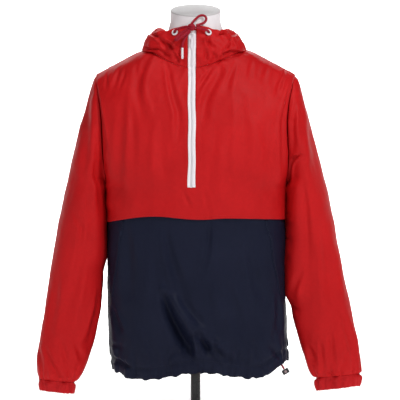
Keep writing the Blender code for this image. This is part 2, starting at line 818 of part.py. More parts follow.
def make_eyelets():
    for name, side, around in EYELETS:
        seam = neck_seam(side)
        share = around * (len(seam) - 1)
        low = seam[int(share)].lerp(seam[int(share) + 1], share - int(share))
        section = hood_section(side, around, low)
        seat = section[EYELET_ROW]
        along = (section[EYELET_ROW + 1] - section[EYELET_ROW - 1]).normalized()
        turn = pi * around
        across = Vector((side * cos(turn), sin(turn), 0))
        out = across.cross(along)
        if out.y > 0:
            out = -out
        bpy.ops.mesh.primitive_torus_add(major_radius=0.0056, minor_radius=0.0017,
                                         major_segments=16, minor_segments=6)
        ring = bpy.context.object
        ring.name = "eyelet_" + name
        ring.data.name = ring.name
        ring.data.materials.append(finish_of("white_plastic"))
        ring.data.shade_smooth()
        frame = Matrix((across, along, across.cross(along))).transposed().to_4x4()
        ring.matrix_world = Matrix.Translation(seat + out * 0.0024) @ frame
        for home in list(ring.users_collection):
            home.objects.unlink(ring)
        PARTS.objects.link(ring)


# Routes of the drawcord's stretches; each starts or ends at the knot's surface.
CORD_UP_LOOP = (
    (-0.0084, -0.0868, 0.8680), (-0.0040, -0.0815, 0.8740), (0.0035, -0.0715, 0.8822),
    (0.0118, -0.0635, 0.8880), (0.0205, -0.0620, 0.8868), (0.0240, -0.0665, 0.8795),
    (0.0200, -0.0745, 0.8715), (0.0110, -0.0830, 0.8672), (0.0022, -0.0880, 0.8640),
)
CORD_DOWN_LOOP = (
    (-0.0178, -0.0925, 0.8568), (-0.0260, -0.0915, 0.8505), (-0.0350, -0.0910, 0.8430),
    (-0.0425, -0.0945, 0.8355), (-0.0440, -0.1020, 0.8310), (-0.0400, -0.1090, 0.8310),
    (-0.0315, -0.1120, 0.8365), (-0.0220, -0.1075, 0.8440), (-0.0138, -0.0985, 0.8525),
)
CORD_RIGHT_RUN = (
    (0.0287, -0.0730, 0.8495), (0.0290, -0.0775, 0.8514), (0.0262, -0.0822, 0.8534),
    (0.0192, -0.0858, 0.8556), (0.0110, -0.0880, 0.8575), (0.0014, -0.0893, 0.8588),
)
CORD_LEFT_RUN = (
    (-0.0456, -0.0714, 0.8497), (-0.0464, -0.0762, 0.8521), (-0.0440, -0.0808, 0.8545),
    (-0.0370, -0.0845, 0.8575), (-0.0280, -0.0868, 0.8600), (-0.0184, -0.0885, 0.8615),
)
CORD_FREE_END = (
    (-0.0120, -0.0868, 0.8518), (-0.0168, -0.0855, 0.8450), (-0.0228, -0.0862, 0.8370),
    (-0.0265, -0.0880, 0.8290), (-0.0283, -0.0892, 0.8215), (-0.0290, -0.0898, 0.8150),
)
AGLET_LENGTH = 0.025
HEM_CORD_ROUTE = (
    (0.1780, -0.0470, 0.1350), (0.1815, -0.0470, 0.1270), (0.1865, -0.0465, 0.1180),
    (0.1925, -0.0460, 0.1085), (0.1980, -0.0455, 0.0995),
)


def make_cords():
    bm = bmesh.new()
    bmesh.ops.create_uvsphere(bm, u_segments=16, v_segments=10, radius=1.0)
    bmesh.ops.scale(bm, vec=KNOT_SIZE, verts=bm.verts)
    knot = add_mesh("cord_knot", bm, "red_cord", 180)
    knot.location = KNOT
    tube("cord_up_loop", CORD_UP_LOOP, CORD, "red_cord", 1.5)
    tube("cord_down_loop", CORD_DOWN_LOOP, CORD, "red_cord", 1.5)
    tube("cord_right_run", CORD_RIGHT_RUN, CORD, "red_cord", 1.5)
    tube("cord_left_run", CORD_LEFT_RUN, CORD, "red_cord", 1.5)
    tube("cord_free_end", CORD_FREE_END, CORD, "red_cord", 1.5)
    end = CORD_FREE_END[-1]
    top = end[2] - 0.0008
    profile = ((0.0, top), (0.0022, top), (0.0027, top - 0.001), (0.0027, top - 0.022),
               (0.0020, top - AGLET_LENGTH), (0.0, top - AGLET_LENGTH))
    aglet = turned("aglet", profile, "white_plastic", 12)
    aglet.location = (end[0], end[1], 0)
    tube("hem_cord", HEM_CORD_ROUTE, HEM_CORD, "red_cord", 1.6)
    end = Vector(HEM_CORD_ROUTE[-1])
    along = (end - Vector(HEM_CORD_ROUTE[-2])).normalized()
    stopper = box("hem_cord_stopper", (0.016, 0.010, 0.011), end + along * 0.0062,
                  "black_plastic", 0.003)
    stopper.rotation_euler = (0, radians(-31), 0)


# ---------------------------------------------------------------- pocket zips
# share of the height between hem and flap, distance from the zip's line
POCKET = ((0.985, 0.162), (0.90, 0.1675), (0.78, 0.1745), (0.66, 0.1800), (0.54, 0.1845), (0.46, 0.187))
POCKET_HALF = 0.0045
POCKET_LIFT = 0.0006
POCKET_THICK = 0.0012


def pocket_point(side, share, x):
    """A point of the lower front at a distance from the middle."""
    half = read(BODY, mix(0.10, 0.434, share), 2 if side > 0 else 1)
    across = min(1.0, x / half)
    z = mix(hem_height(-1, side * x), seam_height(-1, side * x), share)
    depth = read(BODY, z, 3)
    return Vector((side * x, -depth * fullness(across), z))


def make_pockets():
    for name, side in (("right", -1), ("left", 1)):
        rows = []
        for share, x in POCKET:
            inner = pocket_point(side, share, x - POCKET_HALF)
            outer = pocket_point(side, share, x + POCKET_HALF)
            rows.append([inner, outer])
        strip = Panel("pocket_zip_" + name, rows, "navy_cloth", gaps="", thick=POCKET_THICK)
        normals = shared_normals([strip])
        for row in strip.rows:
            for point in row:
                normal = normals[key_of(point)]
                point += normal * (POCKET_LIFT + POCKET_THICK)
        make_cloth(strip, shared_normals([strip]))


# ---------------------------------------------------------------- build
clear_scene()
PARTS = new_collection("anorak_on_dress_form")
PANELS = garment_panels()
NORMALS = shared_normals(PANELS)
for cloth_panel in PANELS:
    make_cloth(cloth_panel, NORMALS)
make_form()
make_stand()
make_zip()
make_slider()
make_eyelets()
make_cords()
make_pockets()
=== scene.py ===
"""Anorak pullover worn by a limbless dress form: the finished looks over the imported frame.

Metres, +Z up.  The front faces -Y and +X is the wearer's left.
"""
from math import cos, pi, radians, sin

import bmesh
import bpy
import numpy as np
from mathutils import Matrix, Vector
from mathutils.bvhtree import BVHTree
from mathutils.kdtree import KDTree


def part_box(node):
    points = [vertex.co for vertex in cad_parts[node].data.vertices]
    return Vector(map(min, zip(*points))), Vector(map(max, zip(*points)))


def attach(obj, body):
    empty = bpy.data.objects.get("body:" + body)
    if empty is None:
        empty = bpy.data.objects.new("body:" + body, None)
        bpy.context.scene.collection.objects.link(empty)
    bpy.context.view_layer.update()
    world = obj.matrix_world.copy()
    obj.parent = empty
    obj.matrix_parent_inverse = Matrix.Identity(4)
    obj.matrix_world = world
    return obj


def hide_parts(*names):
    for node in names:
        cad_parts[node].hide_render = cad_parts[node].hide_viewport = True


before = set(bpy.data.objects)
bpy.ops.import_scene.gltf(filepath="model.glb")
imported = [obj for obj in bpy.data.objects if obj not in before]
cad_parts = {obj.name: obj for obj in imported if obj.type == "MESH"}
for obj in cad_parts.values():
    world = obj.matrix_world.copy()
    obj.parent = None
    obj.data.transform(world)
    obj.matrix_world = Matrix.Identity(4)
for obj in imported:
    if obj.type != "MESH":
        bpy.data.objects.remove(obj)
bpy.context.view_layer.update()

GARMENT = "garment_and_form"
PULL = "zip_pull"

# ---------------------------------------------------------------- sizes, metres
CORD = 0.0055               # drawcord
HEM_CORD = 0.0044           # elastic cord in the hem
WALL = 0.0013               # thickness given to the finished cloth
WALL_EDGE = 0.00195         # shorter edges cross a solid's wall
ZIP_X = -0.008              # where the zip runs, and its two ends
ZIP_BOTTOM, ZIP_TOP = 0.5046, 0.8555
TOOTH_PITCH = 0.0019
HEM_CHANNEL = 0.027         # height of the turned-up hem
SEWN = 0.0035               # two edges this near each other are sewn together
SAME = 1e-6                 # points nearer than this are one point
FAR_OFF = 9.0               # longer than any distance on the garment
SHARP_RIM = radians(38)     # rims of the form bent more than this stay crisp
EYELET_AT = {"left": (0.029, -0.0738, 0.8499), "right": (-0.046, -0.0721, 0.8502)}


# ---------------------------------------------------------------- small helpers
def put(thing):
    """A new object, put into the scene."""
    bpy.context.scene.collection.objects.link(thing)
    return thing


def add_piece(name, bm):
    """A new smooth-shaded piece from a finished bmesh."""
    mesh = bpy.data.meshes.new(name)
    bm.to_mesh(mesh)
    bm.free()
    mesh.shade_smooth()
    return put(bpy.data.objects.new(name, mesh))


def face_out(bm):
    bmesh.ops.recalc_face_normals(bm, faces=bm.faces)


def soften(bm, edges, offset, segments):
    """Rounds edges off."""
    bmesh.ops.bevel(bm, geom=edges, offset=offset, segments=segments, profile=0.5,
                    affect="EDGES", material=-1)


def spun(bm, points, centre, axis, steps, weld=SAME):
    """A line of points turned once round an axis."""
    rail = [bm.verts.new(p) for p in points]
    edges = [bm.edges.new(pair) for pair in zip(rail, rail[1:])]
    bmesh.ops.spin(bm, geom=rail + edges, cent=centre, axis=axis, angle=2 * pi, steps=steps,
                   use_merge=True)
    bmesh.ops.remove_doubles(bm, verts=bm.verts, dist=weld)
    face_out(bm)


def lofted(bm, sections):
    """Joins closed outlines, one after another, into a solid."""
    rings = []
    for section in sections:
        ring = [bm.verts.new(p) for p in section]
        rings.append([bm.edges.new((ring[k], ring[(k + 1) % len(ring)])) for k in range(len(ring))])
    for a, b in zip(rings, rings[1:]):
        bmesh.ops.bridge_loops(bm, edges=a + b)
    bmesh.ops.holes_fill(bm, edges=rings[0] + rings[-1], sides=0)


def rounded_block(bm, size, place, turn, round_by):
    before = set(bm.verts)
    bmesh.ops.create_cube(bm, size=1.0,
                          matrix=Matrix.Translation(place) @ turn @ Matrix.Diagonal((*size, 1)))
    new = [v for v in bm.verts if v not in before]
    soften(bm, list({e for v in new for e in v.link_edges}), round_by, 3)


def axes(along, across, out):
    """A turn whose own x, y and z point these three ways."""
    return Matrix((along, across, out)).transposed().to_4x4()


def give_map(mesh, flat):
    """The piece's own map, from each vertex's place on the cloth in metres."""
    loops = np.empty(len(mesh.loops), dtype=np.int64)
    mesh.loops.foreach_get("vertex_index", loops)
    mesh.uv_layers.new(name="weave").data.foreach_set("uv", flat[loops].ravel())


def mesh_array(mesh, what="co"):
    values = np.empty(len(mesh.vertices) * 3)
    mesh.vertices.foreach_get(what, values)
    return values.reshape(-1, 3)


def smooth_route(points, spacing):
    """Evenly spaced points on a smooth curve through the given points."""
    points = [Vector(p) for p in points]
    line = []
    for i in range(len(points) - 1):
        before = points[i - 1] if i else points[0] * 2 - points[1]
        after = points[i + 2] if i + 2 < len(points) else points[-1] * 2 - points[-2]
        a, b = points[i], points[i + 1]
        for step in range(24):
            t = step / 24
            line.append(0.5 * (2 * a + (b - before) * t
                               + (2 * before - 5 * a + 4 * b - after) * t * t
                               + (3 * a - before - 3 * b + after) * t ** 3))
    line.append(points[-1])
    lengths = [0.0]
    for a, b in zip(line, line[1:]):
        lengths.append(lengths[-1] + (b - a).length)
    count = max(2, round(lengths[-1] / spacing))
    route, i = [], 0
    for step in range(count + 1):
        wanted = lengths[-1] * step / count
        while i < len(line) - 2 and lengths[i + 1] < wanted:
            i += 1
        share = (wanted - lengths[i]) / max(lengths[i + 1] - lengths[i], 1e-9)
        route.append(line[i].lerp(line[i + 1], share))
    return route


def route_length(route):
    return sum((b - a).length for a, b in zip(route, route[1:]))


def step_up(value, low, high):
    """0 below low, 1 above high, smooth between."""
    t = np.clip((value - low) / (high - low), 0.0, 1.0)
    return t * t * (3 - 2 * t)


def soft_field(points, wavelength, seed, stretch=(1.0, 1.0, 1.0), waves=16):
    """A smooth random surface through space, about -1 to 1, the same on every run."""
    chance = np.random.default_rng(seed)
    aim = chance.normal(size=(waves, 3))
    aim /= np.linalg.norm(aim, axis=1, keepdims=True)
    aim *= 2 * pi / wavelength * chance.uniform(0.7, 1.4, size=(waves, 1)) / np.array(stretch)
    return np.sin(points @ aim.T + chance.uniform(0, 2 * pi, waves)).sum(axis=1) / waves ** 0.5


# ---------------------------------------------------------------- finishes
class Value:
    """A shader socket that takes part in Python arithmetic."""

    def __init__(self, finish, socket):
        self.finish, self.socket = finish, socket

    def sum_of(self, operation, *terms):
        return self.finish.node("Math", {"operation": operation}, dict(enumerate(terms)))

    def __add__(self, other):
        return self.sum_of("ADD", self, other)

    def __mul__(self, other):
        return self.sum_of("MULTIPLY", self, other)

    def sine(self):
        return self.sum_of("SINE", self)


class Finish:
    """One material and its nodes."""

    def __init__(self, name, **constants):
        self.material = bpy.data.materials.new(name)
        self.material.use_nodes = True
        self.tree = self.material.node_tree
        self.shader = self.tree.nodes["Principled BSDF"]
        for name, value in constants.items():
            self.shader.inputs[name.replace("_", " ")].default_value = value

    def node(self, kind, settings=None, sockets=None, output=0):
        """A new node: its settings first, then values or links into its sockets."""
        made = self.tree.nodes.new("ShaderNode" + kind)
        for name, value in (settings or {}).items():
            setattr(made, name, value)
        for name, value in (sockets or {}).items():
            self.join(value, made.inputs[name])
        return Value(self, made.outputs[output])

    def join(self, value, socket):
        if isinstance(value, Value):
            self.tree.links.new(value.socket, socket)
        else:
            socket.default_value = value

    def feed(self, **values):
        """Links into the surface shader."""
        for name, value in values.items():
            self.join(value, self.shader.inputs[name.replace("_", " ")])
        return self.material

    def place(self):
        return self.node("TexCoord", output="Object")

    def across(self):
        """The piece's own map, in metres of cloth."""
        return self.node("UVMap", {"uv_map": "weave"})

    def parts(self, vector):
        split = self.node("SeparateXYZ", sockets={0: vector})
        node = split.socket.node
        return [Value(self, node.outputs[i]) for i in range(3)]

    def cloud(self, scale, vector, detail=3.0, roughness=0.5):
        return self.node("TexNoise", {}, {"Vector": vector, "Scale": scale,
                                          "Detail": detail, "Roughness": roughness})

    def blend(self, share, low, high):
        """Colour low where share is 0, high where it is 1."""
        return self.node("Mix", {"data_type": "RGBA"}, {0: share, 6: low, 7: high}, output=2)

    def limits(self, value, low, high, to_low=0.0, to_high=1.0):
        return self.node("MapRange", {}, {"Value": value, "From Min": low, "From Max": high,
                                          "To Min": to_low, "To Max": to_high})

    def bump(self, height, strength, distance, under=None):
        sockets = {"Height": height, "Strength": strength, "Distance": distance}
        if under:
            sockets["Normal"] = under
        return self.node("Bump", {}, sockets)


def plain_weave(finish, thread):
    """Height of over-and-under threads, thread metres apart."""
    u, v, _ = finish.parts(finish.across())
    warp, weft = ((line * (pi / thread)).sine() for line in (u, v))
    return (warp * weft) * 0.5 + 0.5


def woven(name, light, deep, thread=0.0009, roughness=0.52, gloss=0.16):
    """Light plain-woven shell cloth with a soft sheen."""
    finish = Finish(name, Specular_IOR_Level=gloss)
    place = finish.place()
    broad = finish.cloud(9.0, place, 2.0)
    fine = finish.cloud(140.0, place, 3.0)
    threads = plain_weave(finish, thread)
    shade = finish.limits(broad * 0.55 + fine * 0.25 + threads * 0.2, 0.32, 0.68)
    crumple = finish.cloud(55.0, place, 4.0, 0.6)
    relief = finish.bump(crumple, 0.16, 0.0022)
    relief = finish.bump(threads, 0.18, 0.00025, relief)
    return finish.feed(Base_Color=finish.blend(shade, deep, light),
                       Roughness=finish.limits(broad * 0.5 + fine * 0.5, 0.3, 0.7,
                                               roughness - 0.06, roughness + 0.08),
                       Normal=relief)


def moulded(name, light, deep, roughness=0.35, grain=0.06, scale=420.0):
    """Moulded plastic or painted metal with a faint grain."""
    finish = Finish(name)
    place = finish.place()
    cloud = finish.cloud(scale, place, 4.0)
    broad = finish.cloud(30.0, place, 2.0)
    return finish.feed(Base_Color=finish.blend(finish.limits(broad, 0.35, 0.65), deep, light),
                       Roughness=finish.limits(cloud, 0.3, 0.7, roughness - 0.07, roughness + 0.09),
                       Normal=finish.bump(cloud, grain, 0.0004))


def cord_finish(name, light, deep):
    finish = Finish(name, Specular_IOR_Level=0.2)
    place = finish.place()
    fleck = finish.cloud(900.0, place, 2.0)
    return finish.feed(Base_Color=finish.blend(finish.limits(fleck, 0.35, 0.65), deep, light),
                       Roughness=finish.limits(fleck, 0.3, 0.7, 0.62, 0.8),
                       Normal=finish.bump(fleck, 0.25, 0.0003))


RED = woven("red_shell_cloth", (0.585, 0.0098, 0.0120, 1), (0.47, 0.0062, 0.0080, 1), gloss=0.12)
RED_RIB = woven("red_cuff_cloth", (0.57, 0.0095, 0.0130, 1), (0.45, 0.0060, 0.0090, 1), roughness=0.6)
NAVY = woven("navy_shell_cloth", (0.0120, 0.0145, 0.0330, 1), (0.0078, 0.0098, 0.0245, 1),
             gloss=0.08, roughness=0.46)
TAPE = woven("white_zip_tape", (0.95, 0.90, 0.93, 1), (0.88, 0.83, 0.86, 1), thread=0.0007, roughness=0.7)
TEETH = moulded("grey_white_teeth", (0.90, 0.86, 0.89, 1), (0.80, 0.76, 0.80, 1), 0.34)
WHITE_PLASTIC = moulded("white_plastic", (0.86, 0.84, 0.86, 1), (0.78, 0.75, 0.78, 1), 0.3)
DRAWCORD = cord_finish("dark_red_cord", (0.42, 0.012, 0.030, 1), (0.24, 0.006, 0.017, 1))
# black plastic of the hem stopper, also used as the painted shade in the eyelet holes
BLACK_PLASTIC_AND_HOLE_SHADE = moulded("black_plastic", (0.016, 0.016, 0.018, 1), (0.009, 0.009, 0.010, 1), 0.4)
BUTTON = moulded("pinkish_grey_button", (0.42, 0.30, 0.31, 1), (0.32, 0.22, 0.23, 1), 0.4)
BLACK_PAINT = moulded("satin_black_paint", (0.014, 0.014, 0.015, 1), (0.010, 0.010, 0.011, 1), 0.3,
                      0.1, 260.0)
THREAD_RED = cord_finish("red_thread", (0.56, 0.030, 0.034, 1), (0.40, 0.014, 0.018, 1))
THREAD_NAVY = cord_finish("navy_thread", (0.018, 0.020, 0.036, 1), (0.010, 0.012, 0.022, 1))
THREAD_PALE = cord_finish("pale_blue_thread", (0.085, 0.100, 0.150, 1), (0.050, 0.060, 0.095, 1))
FORM_CLOTH = moulded("white_form_shell", (0.90, 0.865, 0.885, 1), (0.86, 0.83, 0.85, 1), 0.5, 0.15, 300.0)
FORM_CAP = moulded("grey_form_cap", (0.62, 0.595, 0.60, 1), (0.57, 0.55, 0.555, 1), 0.55, 0.15, 300.0)


def dress(piece, material, body=GARMENT, replaces=()):
    """Finish, body and CAD nodes of one piece."""
    piece.data.materials.clear()
    piece.data.materials.append(material)
    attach(piece, body)
    if replaces:
        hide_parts(*replaces)
    return piece


# ---------------------------------------------------------------- camera
def aim_camera():
    """Level, straight on to the chest, far enough away for a flat view."""
    lens = bpy.data.cameras.new("studio_camera")
    lens.sensor_width = 36.0
    away, seen_across = 6.0, 0.9
    lens.lens = lens.sensor_width * away / seen_across
    lens.clip_end = 40.0
    camera = put(bpy.data.objects.new("studio_camera", lens))
    camera.location = (0.0101, -away, 0.477)
    camera.rotation_euler = (pi / 2, 0, 0)
    bpy.context.scene.camera = camera


def add_lamp(name, place, target, size, power):
    lamp = bpy.data.lights.new(name, "AREA")
    lamp.shape, lamp.size, lamp.energy = "DISK", size, power
    made = put(bpy.data.objects.new(name, lamp))
    made.location = place
    made.rotation_euler = (Vector(target) - Vector(place)).to_track_quat("-Z", "Y").to_euler()


def set_studio():
    """Pale round floor with a low turned-up rim, and soft lights round the form."""
    bm = bmesh.new()
    outline = ((0, 0), (2.0, 0), (4.5, 0), (7.4, 0), (8.3, 0.12), (8.8, 0.5), (9.0, 1.1), (9.0, 2.3))
    spun(bm, [(r, 0, z) for r, z in outline], (0, 0, 0), (0, 0, 1), 72, weld=1e-4)
    if sum(face.normal.z for face in bm.faces) < 0:
        bmesh.ops.reverse_faces(bm, faces=bm.faces)
    sweep = add_piece("studio_sweep", bm)
    paint = Finish("pale_studio_paint", Roughness=0.9, Specular_IOR_Level=0.1, Emission_Strength=0.50)
    grain = paint.cloud(3.0, paint.place())
    shade = paint.blend(grain, (0.86, 0.86, 0.86, 1), (0.90, 0.90, 0.90, 1))
    sweep.data.materials.append(paint.feed(Base_Color=shade, Emission_Color=shade))
    world = bpy.data.worlds.new("soft_white_room")
    world.use_nodes = True
    world.node_tree.nodes["Background"].inputs["Color"].default_value = (1, 1, 1, 1)
    world.node_tree.nodes["Background"].inputs["Strength"].default_value = 0.05
    bpy.context.scene.world = world
    add_lamp("key_lamp", (0.80, -1.45, 1.80), (0, 0, 0.66), 0.42, 16.5)
    add_lamp("fill_lamp", (-2.2, -3.4, 1.3), (0, 0, 0.6), 1.4, 3)
    add_lamp("top_lamp", (0.2, -0.5, 3.0), (0, 0, 0.4), 0.9, 18)
    add_lamp("back_lamp", (-1.2, 2.6, 1.9), (0, 0, 0.45), 1.2, 6)
    add_lamp("sweep_lamp", (0, 5.2, 3.6), (0, 6.4, 0.0), 3.6, 560)
    add_lamp("front_sweep_lamp", (0, -5.2, 3.6), (0, -9.0, 0.4), 3.2, 90)
    bpy.context.scene.view_settings.view_transform = "Standard"


aim_camera()
set_studio()


# ---------------------------------------------------------------- cords
UP_LOOP = ((-.0084, -.0868, .8680), (-.0040, -.0815, .8740), (.0035, -.0715, .8822),
           (.0118, -.0635, .8880), (.0205, -.0620, .8868), (.0240, -.0665, .8795),
           (.0200, -.0745, .8715), (.0110, -.0830, .8672), (.0022, -.0880, .8640))
DOWN_LOOP = ((-.0178, -.0925, .8568), (-.0260, -.0915, .8505), (-.0350, -.0910, .8430),
             (-.0425, -.0945, .8355), (-.0440, -.1020, .8310), (-.0400, -.1090, .8310),
             (-.0315, -.1120, .8365), (-.0220, -.1075, .8440), (-.0138, -.0985, .8525))
RIGHT_RUN = ((.0287, -.0730, .8495), (.0290, -.0775, .8514), (.0262, -.0822, .8534),
             (.0192, -.0858, .8556), (.0110, -.0880, .8575), (.0014, -.0893, .8588))
LEFT_RUN = ((-.0456, -.0714, .8497), (-.0464, -.0762, .8521), (-.0440, -.0808, .8545),
            (-.0370, -.0845, .8575), (-.0280, -.0868, .8600), (-.0184, -.0885, .8615))
FREE_END = ((-.0120, -.0868, .8518), (-.0168, -.0855, .8450), (-.0228, -.0862, .8370),
            (-.0265, -.0880, .8290), (-.0283, -.0892, .8215), (-.0290, -.0898, .8150))
HEM_ROUTE = ((.1780, -.0470, .1350), (.1815, -.0470, .1270), (.1865, -.0465, .1180),
             (.1925, -.0460, .1085), (.1980, -.0455, .0995))
KNOT, KNOT_SIZE = Vector((-0.0086, -0.0895, 0.8600)), (0.0092, 0.0066, 0.0072)
KNOT_STEPS = 96


def carried_frames(route):
    """Tangent and two sides at each point, turned as little as may be."""
    frames, side = [], None
    for i, point in enumerate(route):
        tangent = (route[min(i + 1, len(route) - 1)] - route[max(i - 1, 0)]).normalized()
        if side is None:
            side = tangent.orthogonal().normalized()
        side = (side - tangent * side.dot(tangent)).normalized()
        frames.append((point, tangent, side, tangent.cross(side)))
    return frames


def braided(bm, route, diameter, strands=8, pitch=0.011, relief=0.07, around=20):
    """A braided cord along a route, with its strands as relief."""
    frames = carried_frames(route)
    sections, along = [], 0.0
    for i, (point, _, side, up) in enumerate(frames):
        if i:
            along += (point - frames[i - 1][0]).length
        section = []
        for k in range(around):
            turn = 2 * pi * k / around
            one = abs(sin(strands / 2 * turn + pi * along / pitch * strands / 4))
            two = abs(sin(strands / 2 * turn - pi * along / pitch * strands / 4))
            reach = diameter / 2 * (1 - relief + relief * max(one, two) ** 0.7)
            section.append(point + (side * cos(turn) + up * sin(turn)) * reach)
        sections.append(section)
    lofted(bm, sections)
    face_out(bm)


def make_cord(name, points, diameter, far_end, with_pieces, lay="loose", **look):
    route = smooth_route(points, 0.0007)
    bm = bmesh.new()
    braided(bm, route, diameter, **look)
    cord = dress(add_piece(name + "_braid", bm), DRAWCORD, replaces=(name,))
    round(route_length(route), 4)
    return cord


def make_knot():
    """The knot's own turns of cord, wound about its middle."""
    bm = bmesh.new()
    turns = []
    for step in range(KNOT_STEPS + 1):
        t = step / KNOT_STEPS
        turn = 2 * pi * 3 * t
        lean = 2 * pi * t
        wide, deep, tall = (s - CORD * 0.36 for s in KNOT_SIZE)
        turns.append(KNOT + Vector((wide * (cos(turn) * 0.85 + 0.15 * cos(lean)),
                                    -deep * sin(turn) * cos(lean * 0.5),
                                    tall * (0.85 * sin(turn) * sin(lean * 0.5) + 0.5 * sin(lean)))))
    braided(bm, turns, CORD * 0.96)
    bmesh.ops.create_uvsphere(bm, u_segments=20, v_segments=12, radius=1.0, matrix=Matrix.Translation(
        KNOT) @ Matrix.Diagonal((*(s * 0.74 for s in KNOT_SIZE), 1)))
    return dress(add_piece("drawcord_knot", bm), DRAWCORD, replaces=("cord_knot",))


def turned_along(name, start, end, profile, steps=32):
    """A turned piece: profile of (distance along, radius) from start towards end."""
    axis = (end - start).normalized()
    side = axis.orthogonal().normalized()
    bm = bmesh.new()
    spun(bm, [start + axis * a + side * r for a, r in profile], start, axis, steps)
    return add_piece(name, bm)


def make_aglet():
    """White tip crimped over the drawcord's end, with two pressed rings."""
    along = Vector((0, 0, -1))
    start = Vector(FREE_END[-1]) + along * 0.0006
    profile = [(0, 0), (0, 0.0021), (0.0006, 0.0026), (0.0030, 0.0027), (0.0036, 0.0024),
               (0.0044, 0.0024), (0.0050, 0.0027), (0.0190, 0.0027), (0.0232, 0.0025),
               (0.0246, 0.0019), (0.0250, 0)]
    return dress(turned_along("white_aglet", start, start + along, profile), WHITE_PLASTIC,
                 replaces=("aglet",))


def make_stopper():
    """Diamond-set hem cord stopper with its spring button."""
    last, before = Vector(HEM_ROUTE[-1]), Vector(HEM_ROUTE[-2])
    along = (last - before).normalized()
    middle = last + along * 0.0062
    turn = Matrix.Translation(middle) @ Matrix.Rotation(radians(-31), 4, "Y")
    bm = bmesh.new()
    bmesh.ops.create_cube(bm, size=1.0, matrix=turn @ Matrix.Diagonal((0.0158, 0.0098, 0.0108, 1)))
    soften(bm, bm.edges, 0.0021, 4)
    body = dress(add_piece("hem_stopper_body", bm), BLACK_PLASTIC_AND_HOLE_SHADE,
                 replaces=("hem_cord_stopper",))
    front = turn @ Vector((0, -0.0047, 0))
    out = (turn.to_3x3() @ Vector((0, -1, 0))).normalized()
    profile = [(-0.001, 0), (-0.001, 0.0031), (0.0006, 0.0031), (0.0010, 0.0028), (0.0011, 0)]
    dress(turned_along("hem_stopper_button", front, front + out, profile), BUTTON)
    return body


knot = make_knot()
aglet = make_aglet()
stopper = make_stopper()
make_cord("cord_up_loop", UP_LOOP, CORD, "knot", [knot])
make_cord("cord_down_loop", DOWN_LOOP, CORD, "knot", [knot])
make_cord("cord_right_run", RIGHT_RUN, CORD, "knot", [knot])
make_cord("cord_left_run", LEFT_RUN, CORD, "knot", [knot])
make_cord("cord_free_end", FREE_END, CORD, "fitting", [aglet], lay="hanging")
make_cord("hem_cord", HEM_ROUTE, HEM_CORD, "fitting", [stopper], lay="hanging", pitch=0.008)


# ---------------------------------------------------------------- cloth: folds placed one by one
# A fold: half width, depth and lean, then its route in front view as x, z, x, z ... (millimetres).
# Depth above 0 is a trough, below 0 a ridge; lean from -1 to 1 makes one bank the higher.
FRONT_FOLDS = (
    (7, 3.4, 0.5, -225, 731, -217, 697, -210, 648, -205, 589),
    (5, 2.6, -0.4, -215, 572, -204, 565, -201, 544), (5, 2.2, 0.3, -197, 762, -199, 724),
    (6, 2.6, -0.3, -168, 775, -174, 751, -183, 720), (5, 2.2, 0.4, -154, 771, -161, 747, -172, 716),
    (6, 1.9, 0.2, -128, 786, -137, 752),
    (13, 4.0, 0.5, -102, 800, -120, 765, -129, 730, -125, 693, -109, 645),
    (9, 3.8, -0.6, -62, 780, -55, 738, -48, 706, -37, 665, -39, 612),
    (14, 3.0, 0.3, -161, 693, -165, 634, -168, 567, -172, 470),
    (11, 2.4, -0.4, -141, 690, -136, 612, -140, 520), (16, -2.4, 0.2, -90, 640, -94, 575, -86, 500),
    (6, 3.2, -0.5, 36, 768, 21, 747, 4, 720), (12, 4.2, -0.5, 60, 770, 44, 738, 25, 702, 15, 645),
    (8, 2.4, 0.4, 88, 781, 76, 748, 66, 716), (6, 3.2, 0.5, 199, 765, 190, 742, 180, 712),
    (7, 2.2, -0.3, 163, 782, 150, 742), (7, 2.0, 0.3, 127, 790, 118, 745),
    (8, 3.6, -0.5, 216, 737, 204, 697, 195, 648, 195, 585, 199, 526),
    (18, 2.8, 0.3, 100, 702, 107, 612, 100, 522), (15, 2.8, -0.4, 150, 640, 165, 544, 148, 459),
    (16, -2.2, 0.3, 60, 620, 52, 550, 58, 470), (7, 2.0, 0.4, -29, 500, -21, 481, -10, 458),
    (8, 1.6, -0.3, 18, 498, 26, 470, 24, 447), (8, 3.6, 0.6, 32, 452, 29, 387, 24, 353, 15, 318),
    (13, 5.0, -0.5, -66, 420, -57, 364, -48, 333, -33, 292, -17, 242),
    (17, 3.6, 0.3, -152, 415, -147, 319, -156, 245), (15, -2.6, 0.2, -112, 380, -106, 300, -112, 225),
    (14, 4.0, -0.4, 118, 400, 128, 330, 140, 285, 160, 240), (15, 3.4, 0.4, 69, 300, 90, 225, 100, 170),
    (14, -2.8, 0.1, 40, 290, 50, 240, 52, 200),
    (17, 21.0, 0.9, -72, 264, -55, 222, -36, 186, -16, 152, -2, 122),
    (12, -9.0, 0.0, -44, 262, -20, 222, 4, 194, 26, 186),
    (8, 6.5, -0.7, -14, 176, 12, 184, 37, 170, 50, 146, 70, 127, 114, 119),
    (15, 16.0, 0.9, 4, 178, 18, 160, 40, 134), (6, -5.0, 0.0, -4, 176, -1, 146, 5, 122),
    (6, 3.2, 0.5, -62, 116, -52, 139, -24, 155), (9, 2.6, -0.4, -110, 170, -92, 138, -84, 114),
    (9, 4.6, 0.6, -187, 236, -166, 178), (6, 3.6, -0.5, -192, 158, -163, 147),
    (7, 4.2, 0.5, -194, 142, -179, 121, -147, 109), (9, 4.0, 0.4, 181, 262, 184, 220, 180, 176),
    (8, 4.0, -0.5, 164, 154, 194, 124), (9, 3.0, 0.4, 124, 168, 134, 140, 150, 118),
    (7, 2.4, -0.4, 86, 150, 92, 134, 104, 116), (4, 2.2, 0.3, -4, 108, -1, 86),
    (4, 2.4, -0.3, 10, 112, 19, 92, 28, 86), (4, 1.8, 0.3, -84, 100, -68, 88),
    (5, 1.8, 0.2, 58, 104, 64, 84),
)
